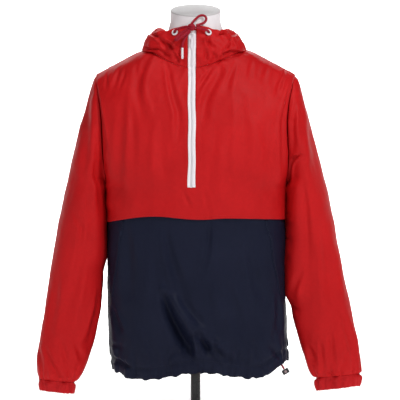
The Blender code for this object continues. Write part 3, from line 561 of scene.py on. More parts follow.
BACK_FOLDS = (
    (8, 3.4, 0.4, -205, 735, -196, 680, -199, 610, -197, 540),
    (8, 3.6, -0.5, 206, 738, 195, 684, 197, 612, 200, 532),
    (12, 3.8, 0.4, -150, 782, -142, 740, -128, 690, -108, 640),
    (12, 3.6, -0.4, 148, 780, 136, 736, 124, 680, 120, 622), (14, 3.0, 0.3, -84, 760, -78, 700, -84, 610),
    (15, 3.2, -0.3, 70, 766, 66, 690, 74, 600), (16, -2.6, 0.2, -14, 720, -8, 640, -16, 560),
    (14, 3.0, -0.3, -170, 620, -164, 540, -170, 466), (14, 3.0, 0.3, 160, 600, 152, 530, 160, 470),
    (15, 2.8, 0.4, 26, 590, 34, 510, 28, 440), (14, 3.8, 0.5, -60, 470, -54, 380, -66, 290),
    (15, 4.0, -0.5, 90, 440, 96, 350, 84, 260), (15, 3.4, -0.3, -140, 430, -134, 330, -146, 240),
    (14, 3.4, 0.3, 150, 400, 146, 320, 158, 230), (16, 4.2, 0.5, 10, 330, 24, 240, 12, 160),
    (11, 4.8, -0.6, -92, 220, -74, 170, -70, 128), (10, 4.4, 0.6, 60, 210, 74, 160, 66, 124),
    (9, 3.8, 0.4, -178, 230, -166, 176), (9, 3.8, -0.4, 182, 232, 176, 170),
    (8, 3.0, 0.4, -24, 170, -14, 118), (9, 3.4, 0.3, 120, 180, 126, 126),
    (9, 3.2, -0.3, -130, 160, -124, 116),
)
SLEEVE_FRONT_FOLDS = (
    (13, 3.6, 0.4, -234, 735, -243, 679, -246, 589, -255, 499),
    (4.5, 3.6, 0.5, -219, 700, -212, 645, -208, 590, -209, 548),
    (7, 3.4, -0.5, -276, 452, -262, 434, -252, 414, -258, 370),
    (15, 4.6, 0.4, -252, 372, -266, 297, -292, 205), (11, 3.0, -0.4, -236, 480, -232, 420, -238, 352),
    (10, 4.4, -0.5, -213, 268, -226, 196, -248, 136), (13, 3.4, 0.3, -306, 300, -316, 232, -334, 160),
    (8, 4.6, 0.6, -334, 146, -318, 110, -301, 76), (8, 4.0, -0.4, -268, 158, -250, 116),
    (9, 3.6, 0.3, -300, 168, -288, 124, -282, 80), (7, 2.8, -0.3, -350, 150, -344, 104),
    (7, 2.6, 0.4, -222, 560, -219, 500, -214, 440), (12, -2.0, 0.2, -290, 560, -286, 500),
    (14, 3.6, -0.4, 252, 735, 258, 679, 267, 589, 276, 499),
    (5, 6.0, 0.8, 240, 580, 224, 573, 211, 553, 209, 505), (8, 3.0, 0.4, 222, 690, 216, 640, 218, 590),
    (7, 3.6, 0.5, 238, 318, 228, 288, 221, 252), (6, 3.4, -0.5, 208, 258, 219, 238, 236, 226),
    (5, 2.6, 0.3, 202, 456, 219, 447), (5, 2.8, -0.3, 204, 428, 221, 423),
    (5, 3.0, 0.3, 205, 398, 224, 386), (5, 2.4, 0.3, 206, 360, 220, 345),
    (15, 4.6, -0.4, 284, 430, 296, 319, 309, 220), (12, 3.0, 0.4, 240, 500, 246, 420, 250, 340),
    (10, 4.2, 0.5, 325, 228, 339, 184, 354, 132), (8, 4.2, -0.5, 252, 148, 268, 114),
    (9, 4.0, 0.4, 300, 190, 304, 140, 310, 94), (7, 3.2, -0.3, 278, 160, 284, 112, 290, 86),
    (7, 3.0, 0.3, 334, 140, 332, 104), (12, -2.4, 0.2, 318, 360, 324, 300, 334, 240),
)
SLEEVE_BACK_FOLDS = (
    (14, 3.4, 0.3, -236, 720, -248, 640, -258, 540), (8, 3.6, 0.5, -216, 560, -232, 520, -254, 498),
    (8, 3.8, -0.5, -282, 470, -262, 440, -240, 426), (8, 3.4, 0.4, -276, 420, -258, 396, -234, 390),
    (14, 4.4, 0.4, -262, 360, -280, 280, -300, 200), (10, 4.0, -0.4, -234, 250, -250, 190, -262, 130),
    (8, 4.2, 0.4, -330, 150, -316, 84), (8, 3.6, -0.3, -290, 146, -284, 84),
    (14, 3.4, -0.3, 240, 716, 252, 630, 264, 540), (8, 3.8, -0.5, 216, 566, 234, 524, 256, 506),
    (8, 3.6, 0.5, 290, 462, 268, 436, 244, 428), (8, 3.4, -0.4, 286, 410, 264, 392, 242, 384),
    (14, 4.2, -0.4, 276, 350, 292, 270, 308, 196), (10, 4.0, 0.4, 242, 240, 258, 180, 270, 124),
    (8, 4.2, -0.4, 346, 160, 332, 100), (8, 3.6, 0.3, 304, 150, 298, 96),
)
HOOD_FRONT_FOLDS = (
    (4, 7.6, -0.6, -112, 826, -96, 818, -80, 811), (4, 7.8, 0.5, -66, 830, -58, 822, -52, 812),
    (6.3, 4.8, -0.3, -84, 838, -72, 828, -66, 812), (5.4, 5.8, -0.4, -80, 812, -66, 800, -58, 790),
    (8, 4.5, 0.0, 106, 850, 114, 838), (4.5, 4.4, 0.3, -96, 848, -82, 842),
    (4.5, 4.4, 0.4, -50, 806, -42, 792, -30, 782), (4, 8.5, 0.6, 54, 846, 66, 849, 80, 844),
    (5.4, 7.1, -0.5, 36, 850, 28, 836, 30, 824, 40, 816), (7.2, 5.8, 0.3, 88, 838, 84, 824, 70, 812),
    (4.5, 7.8, 0.6, 62, 800, 72, 806, 86, 808, 106, 812), (4.5, 6.1, -0.5, 60, 810, 62, 800, 56, 788),
    (5.4, 5.1, 0.3, 20, 812, 24, 800, 22, 786), (5.4, 4.8, -0.3, 38, 806, 44, 794, 40, 780),
    (5.4, 4.1, 0.3, -30, 812, -34, 798, -26, 784),
)
HOOD_BACK_FOLDS = (
    (9, 4.0, 0.4, -90, 820, -60, 790, -40, 740), (9, 4.0, -0.4, 88, 822, 62, 790, 44, 736),
    (10, 3.6, 0.3, -30, 810, -16, 760, -20, 700), (10, 3.6, -0.3, 28, 812, 20, 764, 26, 706),
    (9, 3.2, 0.5, -50, 720, 0, 700, 48, 722), (7, 3.0, -0.4, -60, 836, -20, 826, 20, 830),
)
# Which tables shape the side of a kind of cloth that faces forward, and which the other side
FOLDS = {
    "front": (FRONT_FOLDS, BACK_FOLDS), "back": (FRONT_FOLDS, BACK_FOLDS),
    "sleeve": (SLEEVE_FRONT_FOLDS, SLEEVE_BACK_FOLDS), "hood": (HOOD_FRONT_FOLDS, HOOD_BACK_FOLDS),
}
# Where two kinds are sewn together: height of the gathers, their reach, depth of the seam's valley
GATHERS = {
    "cuff sleeve": (0.0030, 0.026, 0.0010), "front hood": (0.0016, 0.020, 0.0004),
    "back hood": (0.0012, 0.018, 0.0005), "front sleeve": (0.0013, 0.012, 0.0017),
    "back sleeve": (0.0011, 0.012, 0.0012), "back front": (0.0009, 0.011, 0.0007),
    "back back": (0.0006, 0.010, 0.0007), "hood hood": (0.0006, 0.010, 0.0007),
}
PLAIN_GATHER = (0.0006, 0.009, 0.0007)

CLOTH = ("front_upper", "back_upper", "front_lower", "back_lower", "sleeve_left", "sleeve_right",
         "cuff_left", "cuff_right", "hood_left", "hood_right")


def kind_of(node):
    return node.split("_")[0]


def islands(bm):
    """Groups of faces that hang together."""
    left, groups = set(bm.faces), []
    while left:
        queue, group = [left.pop()], []
        while queue:
            face = queue.pop()
            group.append(face)
            for edge in face.edges:
                for other in edge.link_faces:
                    if other in left:
                        left.remove(other)
                        queue.append(other)
        groups.append(group)
    return groups


def outer_skin(node):
    """The outside layer of a cloth solid, in four-sided faces."""
    bm = bmesh.new()
    bm.from_mesh(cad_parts[node].data)
    bmesh.ops.remove_doubles(bm, verts=bm.verts, dist=SAME)
    rim = {face for edge in bm.edges if edge.calc_length() < WALL_EDGE for face in edge.link_faces}
    bmesh.ops.delete(bm, geom=list(rim), context="FACES")
    middle = sum((v.co for v in bm.verts), Vector()) / len(bm.verts)
    if kind_of(node) in ("front", "back", "hood"):
        middle.x = middle.y = 0.0
    groups = islands(bm)
    outward = [sum(f.calc_area() * f.normal.dot(f.calc_center_median() - middle) for f in group)
               for group in groups]
    keep = set(groups[outward.index(max(outward))])
    bmesh.ops.delete(bm, geom=[f for f in bm.faces if f not in keep], context="FACES")
    bmesh.ops.join_triangles(bm, faces=bm.faces, angle_face_threshold=radians(70),
                             angle_shape_threshold=radians(89))
    return bm


def refine(bm, name, levels):
    """The skin made round and fine."""
    piece = add_piece(name, bm)
    rounder = piece.modifiers.new("roundness", "SUBSURF")
    rounder.levels = rounder.render_levels = levels
    rounder.boundary_smooth = "PRESERVE_CORNERS"
    graph = bpy.context.evaluated_depsgraph_get()
    piece.data = bpy.data.meshes.new_from_object(piece.evaluated_get(graph))
    piece.modifiers.clear()
    piece.data.name = name
    return piece


def edge_points(mesh):
    """Numbers of the vertices on open edges."""
    used = np.empty(len(mesh.loops), dtype=np.int64)
    mesh.loops.foreach_get("edge_index", used)
    count = np.bincount(used, minlength=len(mesh.edges))
    ends = np.empty(len(mesh.edges) * 2, dtype=np.int64)
    mesh.edges.foreach_get("vertices", ends)
    return np.unique(ends.reshape(-1, 2)[count == 1])


def tree_of(points):
    tree = KDTree(len(points))
    for i, point in enumerate(points):
        tree.insert(point, i)
    tree.balance()
    return tree


def nearest(points, targets):
    """Distance from each point to the nearest target, and that target's number."""
    tree = tree_of(targets)
    found = [tree.find(p) for p in points]
    return np.array([f[2] for f in found]), np.array([f[1] for f in found])


def fold_depth(points, folds):
    """How far the listed folds move each point out, metres."""
    flat = points[:, [0, 2]]
    height = np.zeros(len(points))
    for width, depth, lean, *route in folds:
        width, depth = 0.8 * width / 1000, 1.25 * depth / 1000
        line = np.array([(p.x, p.z) for p in smooth_route(
            [(x / 1000, 0, z / 1000) for x, z in zip(route[::2], route[1::2])], 0.010)])
        long = np.concatenate([[0], np.cumsum(np.hypot(*np.diff(line, axis=0).T))])
        best = np.full(len(points), FAR_OFF)
        side, share = np.zeros(len(points)), np.zeros(len(points))
        near = (np.abs(flat - line.mean(axis=0)) < np.ptp(line, axis=0) / 2 + 4 * width).all(axis=1)
        spot = flat[near]
        far, turn, along = best[near], side[near], share[near]
        for a, b, start, end in zip(line, line[1:], long, long[1:]):
            step = b - a
            t = ((spot - a) @ step) / (step @ step)
            held = np.clip(t, 0, 1)
            gap = spot - a - held[:, None] * step
            distance = np.hypot(gap[:, 0], gap[:, 1])
            closer = distance < far
            far[closer] = distance[closer]
            turn[closer] = np.sign(step[0] * gap[:, 1] - step[1] * gap[:, 0])[closer]
            along[closer] = (start + held * (end - start))[closer] / long[-1]
        taper = np.sin(pi * np.clip(0.06 + 0.9 * along, 0, 1)) ** 0.8
        reach = far / (width * (0.65 + 0.5 * along))
        bank = np.where(turn > 0, 0.34 * (1 + lean), 0.34 * (1 - lean))
        shape = -np.exp(-reach ** 2) + bank * np.exp(-((reach - 1.75) / 0.75) ** 2)
        height[near] += depth * taper * shape
    return height


def seam_gathers(node, points, skins):
    """Sewn edges: how near each point is, and how the seam draws the cloth there."""
    own = points[edges_of[node]]
    partner_of = np.full(len(own), -1)
    best = np.full(len(own), SEWN)
    meet = np.zeros_like(own)
    for number, other in enumerate(CLOTH):
        if other != node:
            rim = skins[other][edges_of[other]]
            gap, which = nearest(own, rim)
            closer = gap < best
            partner_of[closer], best[closer] = number, gap[closer]
            meet[closer] = (rim[which] - own)[closer] * 0.5
    sewn, free = own[partner_of >= 0], own[partner_of < 0]
    away, which = nearest(points, sewn)
    stitch = sewn[which]
    partners = partner_of[partner_of >= 0][which]
    rows = np.array([GATHERS.get(" ".join(sorted((kind_of(node), kind_of(other)))), PLAIN_GATHER)
                     for other in CLOTH])[partners]
    wave = soft_field(stitch, 0.024, 11) + 0.7 * soft_field(stitch, 0.011, 12)
    drawn = rows[:, 0] * wave * np.exp(-away / rows[:, 1]) * (1 - np.exp(-(away / 0.0035) ** 2))
    drawn -= rows[:, 2] * np.exp(-(away / 0.0045) ** 2)
    loose = nearest(points, free)[0] if len(free) else np.full(len(points), FAR_OFF)
    joined = np.zeros_like(points)
    joined[edges_of[node]] = meet
    return away, loose, drawn, free, joined


def weave_map(piece, node, points):
    """The piece's own map: metres of cloth across and along."""
    middle = points.mean(axis=0)
    radius = {"front": 0.20, "back": 0.20, "sleeve": 0.07, "cuff": 0.045, "hood": 0.10}[kind_of(node)]
    if kind_of(node) in ("front", "back", "hood"):
        middle[:2] = 0.0
    drift = 0.40 * (points[:, 2] - middle[2]) if kind_of(node) == "sleeve" else 0.0
    sign = -1 if "left" in node else 1
    across = np.arctan2(points[:, 0] - middle[0] - sign * drift, -(points[:, 1] - middle[1])) * radius
    give_map(piece.data, np.stack([across, points[:, 2]], axis=1))


def placed_folds(points, normals, in_front, at_back):
    """The listed folds, each table only where the cloth faces its way."""
    ahead, behind = step_up(-normals[:, 1], 0.05, 0.45), step_up(normals[:, 1], 0.05, 0.45)
    return ahead * fold_depth(points, in_front) + behind * fold_depth(points, at_back)


def shape_hood(points, away, move, joined):
    """Ripples in the casing, sides that roll out low down, and the left side tucked in."""
    x, y, z = points.T
    casing = step_up(z, 0.838, 0.850)
    move += 0.0013 * casing * soft_field(points * (1, 1, 0.25), 0.017, 9)
    sides = step_up(np.abs(x), 0.078, 0.104) * step_up(-y, -0.05, -0.02)
    flare = np.exp(-((z - 0.8195) / 0.0105) ** 2)
    flare *= sides * step_up(away, 0.0, 0.004)
    joined[:, 0] += np.where(x < 0, -0.0085, 0.0020) * flare
    joined[:, 2] -= np.where(x < 0, 0.0065, 0.0095) * flare
    tucked = step_up(x, 0.045, 0.105) * step_up(z, 0.818, 0.838)
    joined[:, 0] -= 0.0125 * tucked * step_up(-y, -0.12, -0.03) * step_up(away, 0.0, 0.006)


def shape_sleeve(points, normals, away, side, drawn):
    """The inner side leans towards the body, further down and further in on the left."""
    inward = step_up(-normals[:, 0] * side, 0.25, 0.8)
    height = points[:, 2]
    lowest = 0.232 if side > 0 else 0.31
    lean = step_up(height, lowest, lowest + 0.045) * (1 - step_up(height, 0.505, 0.53))
    lean *= 0.0088 + (0.0046 * (1 - step_up(height, 0.34, 0.40)) if side > 0 else 0.0)
    drawn += inward * lean * step_up(away, 0.0, 0.004)


def shape_flanks(points, normals, drawn):
    """The body's sides stand a little out below the arms, and more under the right one."""
    height = points[:, 2]
    flank = step_up(np.abs(normals[:, 0]), 0.6, 0.95)
    drawn += 0.0012 * flank * step_up(height, 0.33, 0.37) * (1 - step_up(height, 0.49, 0.51))
    underarm = step_up(height, 0.450, 0.474) * (1 - step_up(height, 0.508, 0.520))
    drawn += 0.0050 * flank * underarm * (points[:, 0] < 0)


def shape_hem(points, away, free, move, joined):
    """Gathers that swell round the hem's stitched channel, and a frilled edge."""
    hem = free[free[:, 2] < 0.2]
    from_edge, which = nearest(points, hem)
    line = from_edge - HEM_CHANNEL
    spot = hem[which]
    wave = soft_field(spot, 0.030, 21) + 0.8 * soft_field(spot, 0.013, 22)
    calm = step_up(away, 0.0, 0.008)
    swell = np.where(line > 0, np.exp(-np.maximum(line, 0) / 0.024), 0.8)
    move += calm * 0.0026 * wave * swell * (1 - 0.8 * np.exp(-(line / 0.005) ** 2))
    move -= calm * 0.0038 * np.exp(-(line / 0.0036) ** 2)
    frill = soft_field(spot, 0.026, 23) + 0.3 * soft_field(spot, 0.012, 24)
    joined[:, 2] += calm * 0.0016 * frill * np.exp(-from_edge / 0.016)


def shape_cuff(node, points, away, move):
    """Fine upright ribs where the elastic draws the cuff in."""
    turn = np.arctan2(points[:, 0] - points[:, 0].mean(), points[:, 1] - points[:, 1].mean())
    around = np.stack([turn * 0.045, 0 * turn, points[:, 2] * 0.15], axis=1)
    rib = soft_field(around, 0.011, 31 + len(node)) + 0.6 * soft_field(around, 0.0055, 32)
    move += 0.0012 * rib * step_up(away, 0.0, 0.006)


def shape_cloth(node, piece, points, skins):
    """Moves one skin into its folds, gathers and seams."""
    normals = mesh_array(piece.data, "normal")
    away, loose, drawn, free, joined = seam_gathers(node, points, skins)
    kind = kind_of(node)
    move = 0.0013 * soft_field(points, 0.15, 3, (1, 1, 1.8))
    move += 0.0006 * soft_field(points, 0.05, 4, (1, 1, 1.6))
    move += 0.00022 * soft_field(points, 0.020, 5)
    if kind == "hood":
        move += (0.0016 * soft_field(points, 0.055, 8, (1, 1, 0.6))
                 + 0.0006 * soft_field(points, 0.022, 10))
    if kind in FOLDS:
        move += placed_folds(points, normals, *FOLDS[kind])
    if kind == "hood":
        shape_hood(points, away, move, joined)
    elif kind == "cuff":
        move *= 0.3
    elif kind == "front":
        # flat beside the zip
        beside_zip = np.abs(points[:, 0] - ZIP_X)
        calm = np.where(points[:, 2] > ZIP_BOTTOM - 0.004, step_up(beside_zip, 0.007, 0.022), 1.0)
        move, drawn = move * calm, drawn * calm
    if kind == "sleeve":
        shape_sleeve(points, normals, away, -1 if "right" in node else 1, drawn)
    elif kind in ("front", "back"):
        shape_flanks(points, normals, drawn)
    move *= step_up(away, 0.0, 0.014)
    if node in ("front_upper", "front_lower"):
        # calmer where the flap lies on the lower front
        move *= 0.45 + 0.55 * step_up(np.abs(points[:, 2] - 0.43), 0.008, 0.035)
    if kind == "hood":
        # flat under the eyelets and the top of the zip
        for spot in (*EYELET_AT.values(), (ZIP_X, -0.080, 0.83)):
            move *= step_up(np.linalg.norm(points - spot, axis=1), 0.008, 0.022)
    move += drawn
    if node.endswith("lower"):
        shape_hem(points, away, free, move, joined)
    if kind == "cuff":
        shape_cuff(node, points, away, move)
    if node == "front_upper":
        # the flap's loose edge waves a little
        move += 0.0010 * soft_field(points, 0.08, 41, (1, 1, 3)) * np.exp(-loose / 0.015)
    moved = points + normals * move[:, None] + joined
    piece.data.vertices.foreach_set("co", moved.ravel())
    piece.data.update()


refined = {node: refine(outer_skin(node), node + "_cloth", 3) for node in CLOTH}
skins = {node: mesh_array(piece.data) for node, piece in refined.items()}
edges_of = {node: edge_points(piece.data) for node, piece in refined.items()}
for node, piece in refined.items():
    weave_map(piece, node, skins[node])
    shape_cloth(node, piece, skins[node], skins)
    shell = piece.modifiers.new("cloth_wall", "SOLIDIFY")
    shell.thickness, shell.offset = WALL, -1.0
    kind = kind_of(node)
    material, slot = (NAVY, "navy_cloth") if node.endswith("lower") else (RED, "red_cloth")
    dress(piece, RED_RIB if kind == "cuff" else material, replaces=(node,))
    "gathered" if kind == "cuff" else "hung" if kind == "sleeve" else "draped"


# ---------------------------------------------------------------- on the cloth
def surface_of(node):
    """The finished outside of one cloth piece, for laying trims on it."""
    bm = bmesh.new()
    bm.from_mesh(refined[node].data)
    tree = BVHTree.FromBMesh(bm)
    bm.free()
    return tree


surfaces = {node: surface_of(node) for node in CLOTH}


def laid(route, node, from_behind=False):
    """Points (x, z millimetres) dropped on to a piece from the front or the back: place, normal."""
    way = -1 if from_behind else 1
    found = []
    for x, z in route:
        place, normal, _, _ = surfaces[node].ray_cast(Vector((x / 1000, -way, z / 1000)),
                                                      Vector((0, way, 0)))
        if place:
            if normal.y * way > 0:
                normal = -normal
            found.append((place, normal))
    return found


def flat_route(points, spacing=3.0):
    """(x, z) millimetres, evenly spaced on a smooth line."""
    return [(p.x * 1000, p.z * 1000) for p in
            smooth_route([(x / 1000, 0, z / 1000) for x, z in points], spacing / 1000)]


def ribbon(bm, spots, outline):
    """A strip laid along spots of (place, normal); outline is (across, out) in millimetres."""
    sections = []
    for i, (place, normal) in enumerate(spots):
        ahead, back = spots[min(i + 1, len(spots) - 1)][0], spots[max(i - 1, 0)][0]
        along = (ahead - back).normalized()
        side = along.cross(normal).normalized()
        up = side.cross(along).normalized()
        sections.append([place + side * (a / 1000) + up * (h / 1000) for a, h in outline])
    lofted(bm, sections)


def stitch_run(bm, spots, pitch=0.0036, long=0.0024, thick=0.00042):
    """Single stitches along spots of (place, normal)."""
    lengths = [0.0]
    for (a, _), (b, _) in zip(spots, spots[1:]):
        lengths.append(lengths[-1] + (b - a).length)
    at, i = pitch / 2, 0
    while at < lengths[-1]:
        while lengths[i + 1] < at:
            i += 1
        (a, n), (b, _) = spots[i], spots[i + 1]
        if (b - a).length < 0.02:
            place = a.lerp(b, (at - lengths[i]) / max(lengths[i + 1] - lengths[i], 1e-9))
            along = (b - a).normalized()
            side = along.cross(n).normalized()
            up = side.cross(along)
            scale = Matrix.Diagonal((long / 2, thick, thick, 1))
            bmesh.ops.create_icosphere(bm, subdivisions=1, radius=1.0, matrix=Matrix.Translation(
                place + up * 0.00012) @ axes(along, side, up) @ scale)
        at += pitch


# flap edge, hem and casing lines as (x, z) millimetres
FLAP_EDGE = ((-198, 427), (-170, 432), (-118, 439.5), (-73, 439.8), (-21, 434.5), (27, 433),
             (53, 436), (200, 433.5))
HEM_FRONT = ((-186, 98), (-140, 77.5), (-92, 79.5), (-30, 91.5), (0, 95.5), (33, 94), (100, 83.5),
             (152, 85), (183, 106), (200, 117))
HEM_BACK = ((-186, 98), (-140, 86), (-92, 80), (-30, 79), (0, 80), (33, 79), (100, 81), (152, 86),
            (183, 104), (200, 117))
CASING_RIGHT = ((-104, 833), (-84, 834), (-60, 831), (-26, 829))
CASING_LEFT = ((12, 829), (44, 831), (70, 834), (92, 834))
# rows of stitches above the edge they follow
FLAP_ROWS = (7.0, 2.2)
HEM_ROW = 27.5


def sew(name, lines, thread):
    """One piece of stitching; a line is (route, node, raised by, from behind)."""
    bm = bmesh.new()
    for route, node, raised, behind in lines:
        points = [(x, z + raised) for x, z in flat_route(route)]
        spots = laid(points, node, behind)
        if len(spots) > 2:
            stitch_run(bm, spots)
    return dress(add_piece(name, bm), thread)


sew("flap_stitching", [(FLAP_EDGE, "front_upper", row, False) for row in FLAP_ROWS], THREAD_RED)
sew("hood_stitching", [(CASING_RIGHT, "hood_right", 0, False), (CASING_LEFT, "hood_left", 0, False)],
    THREAD_RED)
sew("hem_stitching", [(HEM_FRONT, "front_lower", HEM_ROW, False), (HEM_BACK, "back_lower", HEM_ROW, True)],
    THREAD_NAVY)

# ---------------------------------------------------------------- zip
ZIP_LINE = ((-127, 504.6), (-127, 535), (-126.3, 570), (-123.8, 614), (-117.7, 660), (-107, 703),
            (-93.6, 738), (-82.3, 761.5), (-77.9, 769.5), (-80.9, 777.5), (-83.4, 787.5), (-84.6, 798.5),
            (-84.4, 810.5), (-82.7, 822.5), (-79.9, 834.5), (-76.4, 845.5), (-71.9, 855.5))
zip_route = smooth_route([(ZIP_X, y / 1000, z / 1000) for y, z in ZIP_LINE], TOOTH_PITCH)


def zip_spots(step=1):
    """Place and outward direction along the zip."""
    spots = []
    for i in range(0, len(zip_route), step):
        along = (zip_route[min(i + 1, len(zip_route) - 1)] - zip_route[max(i - 1, 0)]).normalized()
        wave = 0.0006 * sin(zip_route[i].z * 70) + 0.0004 * sin(zip_route[i].z * 31 + 1)
        spots.append((zip_route[i] + Vector((wave, 0, 0)), Vector((0, -along.z, along.y)), along))
    return spots


def make_tape(name, side, node):
    bm = bmesh.new()
    spots = zip_spots(2)
    outline = ((0.3, -0.3), (0.3, 0.3), (2.2, 0.5), (2.8, 1.0), (6.9, 1.15), (7.9, 0.95), (8.1, 0.4),
               (8.15, -0.8), (8.3, -2.2), (9.3, -2.3), (9.3, -2.8), (7.6, -2.8), (7.0, -0.4))
    sections = []
    for place, out, along in spots:
        widen = 1.0 + 0.10 * step_up(-place.z, -0.56, -0.505)
        sections.append([place + Vector((side * a * widen / 1000, 0, 0)) + out * (h / 1000)
                         for a, h in outline])
    lofted(bm, sections)
    if side < 0:
        # the right tape's top is cut off aslant
        bmesh.ops.bisect_plane(bm, geom=list(bm.verts) + list(bm.edges) + list(bm.faces),
                               plane_co=(ZIP_X - 0.001, 0, ZIP_TOP), plane_no=(-1, 0, 0.95),
                               clear_outer=True)
        bmesh.ops.holes_fill(bm, edges=bm.edges, sides=0)
    face_out(bm)
    piece = add_piece(name, bm)
    weave_flat(piece)
    return dress(piece, TAPE, replaces=(node,))


def weave_flat(piece):
    """A map in metres seen from the front, for straps and tapes."""
    give_map(piece.data, mesh_array(piece.data)[:, [0, 2]])


def make_teeth():
    """Two rows of moulded teeth that lock into each other."""
    bm = bmesh.new()
    for i, (place, out, along) in enumerate(zip_spots()):
        side = 1 if i % 2 else -1
        middle = place + Vector((side * 0.0004, 0, 0)) + out * 0.0009
        size = Matrix.Diagonal((0.0036, 0.0011, 0.0013, 1))
        bmesh.ops.create_cube(bm, size=1.0, matrix=Matrix.Translation(middle)
                              @ axes(Vector((1, 0, 0)), out, along) @ size)
    soften(bm, bm.edges, 0.00028, 1)
    return dress(add_piece("zip_teeth", bm), TEETH, replaces=("zip_chain",))


make_tape("zip_tape_right_woven", -1, "zip_tape_right")
make_tape("zip_tape_left_woven", 1, "zip_tape_left")
make_teeth()


def make_slider():
    """Zip slider: two plates joined by a neck, with a bridge for the pull."""
    low, high = (Vector(c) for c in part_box("zip_slider"))
    middle = (low + high) / 2
    along = Vector((0, 0.22, 0.975)).normalized()
    out = Vector((0, -along.z, along.y))
    turn = axes(Vector((1, 0, 0)), out, along)
    bm = bmesh.new()
    rounded_block(bm, (0.0086, 0.0014, 0.0112), middle + out * 0.0002, turn, 0.00065)
    rounded_block(bm, (0.0062, 0.0018, 0.0078), middle + out * 0.0012, turn, 0.0008)
    rounded_block(bm, (0.0022, 0.0024, 0.0074), middle + out * 0.0026, turn, 0.0007)
    return dress(add_piece("zip_slider_moulded", bm), WHITE_PLASTIC,
                 replaces=("zip_slider",))


def make_pull():
    """Flat zip pull: an eye at the hinge, a narrow neck and a wider tab with a moulded frame."""
    low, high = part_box("zip_pull")
    middle_y, top, bottom = (low[1] + high[1]) / 2, high[2], low[2]
    tall = top - bottom
    outline = ((0.0, 0.0), (0.05, 0.0020), (0.14, 0.0022), (0.24, 0.0016), (0.34, 0.0019), (0.46, 0.0028),
               (0.80, 0.0033), (0.93, 0.0031), (0.985, 0.0022), (1.0, 0.0008))
    bm = bmesh.new()
    ring = [(ZIP_X + w, top - s * tall) for s, w in outline]
    ring += [(ZIP_X - w, top - s * tall) for s, w in reversed(outline[1:])]
    plate = bm.faces.new([bm.verts.new((x, middle_y - 0.0006, z)) for x, z in ring])
    thick = bmesh.ops.extrude_face_region(bm, geom=[plate])["geom"]
    bmesh.ops.translate(bm, vec=(0, 0.0012, 0),
                        verts=[v for v in thick if isinstance(v, bmesh.types.BMVert)])
    face_out(bm)
    rim = [e for e in bm.edges if len(e.link_faces) == 2 and e.calc_face_angle() > 1.2]
    soften(bm, rim, 0.0004, 2)
    upright, across = (0.0007, 0.0016, tall * 0.46), (0.0052, 0.0016, 0.0008)
    bars = ((upright, -0.0024, 0.27), (upright, 0.0024, 0.27), (across, 0, 0.05), (across, 0, 0.49))
    for size, x, z in bars:
        rounded_block(bm, size, Vector((ZIP_X + x, middle_y, bottom + tall * z)),
                      Matrix.Identity(4), 0.0003)
    return dress(add_piece("zip_pull_tab", bm), TEETH, body=PULL, replaces=("zip_pull",))


make_slider()
make_pull()

# ---------------------------------------------------------------- eyelets
EYELET_WAY = {"left": (0.34, -0.843, 0.416), "right": (-0.395, -0.806, 0.44)}
EYELET_RIM = [(-0.0012, 0.0037), (0.0008, 0.0036), (0.0016, 0.0041), (0.0020, 0.0050), (0.0018, 0.0062),
              (0.0011, 0.0071), (0.0002, 0.0074), (-0.0012, 0.0074)]
# profile of the black disc that is painted shade in each eyelet's hole
EYELET_HOLE_SHADE = [(0.0000, 0.0), (0.0004, 0.0030), (0.0007, 0.0037), (-0.0006, 0.0037), (-0.0008, 0.0)]
for side, place in EYELET_AT.items():
    place, out = Vector(place), Vector(EYELET_WAY[side]).normalized()
    dress(turned_along("eyelet_rim_" + side, place, place + out, EYELET_RIM, 40), WHITE_PLASTIC,
          replaces=("eyelet_" + side,))
    # a black disc in each eyelet ring is painted shade where the hole through the hood would be
    dress(turned_along("eyelet_hole_shade_" + side, place, place + out, EYELET_HOLE_SHADE, 32), BLACK_PLASTIC_AND_HOLE_SHADE)

# ---------------------------------------------------------------- pockets
POCKETS = {
    "left": ((156, 432), (161, 407), (169, 388), (170, 366), (174, 337), (182, 306), (188, 268)),
    "right": ((-160, 432), (-164, 407), (-169, 388), (-172, 360), (-176, 330), (-181, 300), (-186, 262)),
}
# the welt's outline, (across, out) in millimetres
LIPS = ((-3.4, 0.0), (-3.2, 0.8), (-1.6, 1.1), (-0.5, 0.9), (-0.2, 0.2), (0.2, 0.2), (0.5, 0.9), (1.6, 1.1),
        (3.2, 0.8), (3.4, 0.0))


def soft_block(name, size, place, turn, round_by, material=RED):
    """A small rounded block of cloth."""
    bm = bmesh.new()
    rounded_block(bm, size, Vector(place), turn, round_by)
    return dress(add_piece(name, bm), material)


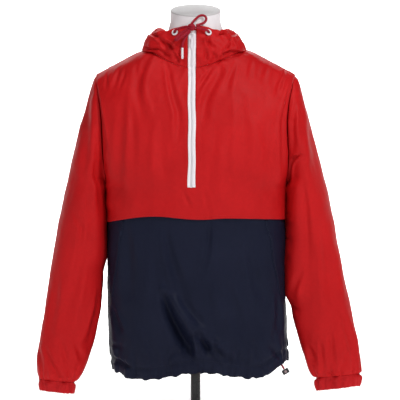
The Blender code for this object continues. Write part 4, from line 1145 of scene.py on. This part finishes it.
for side, route in POCKETS.items():
    bm = bmesh.new()
    spots = laid(flat_route(route, 4.0), "front_lower")
    ribbon(bm, spots, LIPS)
    face_out(bm)
    welt = add_piece("pocket_welt_" + side, bm)
    weave_flat(welt)
    dress(welt, NAVY, replaces=("pocket_zip_" + side,))
    place, normal = spots[max(2, len(spots) // 6)]
    soft_block("pocket_tab_" + side, (0.0046, 0.0016, 0.0100), place + normal * 0.0016,
               Matrix.Rotation(0.25, 4, "Y"), 0.0006, NAVY)
    sew("pocket_stitching_" + side, [(route[:4], "front_lower", 0, False)], THREAD_PALE)

# ---------------------------------------------------------------- patches over small gaps
for side, way in (("right", -1), ("left", 1)):
    soft_block("shoulder_gusset_" + side, (0.030, 0.036, 0.0024), (way * 0.1135, 0.002, 0.8118),
               Matrix.Rotation(0.42 * way, 4, "Y"), 0.0010)
soft_block("hood_fold_tack", (0.006, 0.034, 0.016), (0.0965, 0.034, 0.8335),
           Matrix.Rotation(-0.15, 4, "Z"), 0.0025)
zip_end, zip_end_way, _ = zip_spots()[-1]
soft_block("zip_garage", (0.0176, 0.0030, 0.0150), zip_end + zip_end_way * 0.0010 - Vector((0, 0, 0.0030)),
           Matrix.Rotation(0.30, 4, "Y") @ Matrix.Rotation(-0.2, 4, "X"), 0.0011)

# ---------------------------------------------------------------- dress form and stand
def smooth_copy(node, name, material):
    """A CAD solid again with evenly shaded sides and crisp rims."""
    bm = bmesh.new()
    bm.from_mesh(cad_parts[node].data)
    bmesh.ops.remove_doubles(bm, verts=bm.verts, dist=SAME)
    face_out(bm)
    for edge in bm.edges:
        edge.smooth = edge.calc_face_angle(0) < SHARP_RIM
    mesh = bpy.data.meshes.new(name)
    for face in bm.faces:
        face.smooth = True
    bm.to_mesh(mesh)
    bm.free()
    return dress(put(bpy.data.objects.new(name, mesh)), material, replaces=(node,))


smooth_copy("form_torso", "form_torso_shell", FORM_CLOTH)
smooth_copy("form_neck_cap", "form_neck_lid", FORM_CAP)
for node in ("stand_pole", "stand_base", "stand_socket"):
    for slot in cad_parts[node].material_slots:
        slot.material = BLACK_PAINT
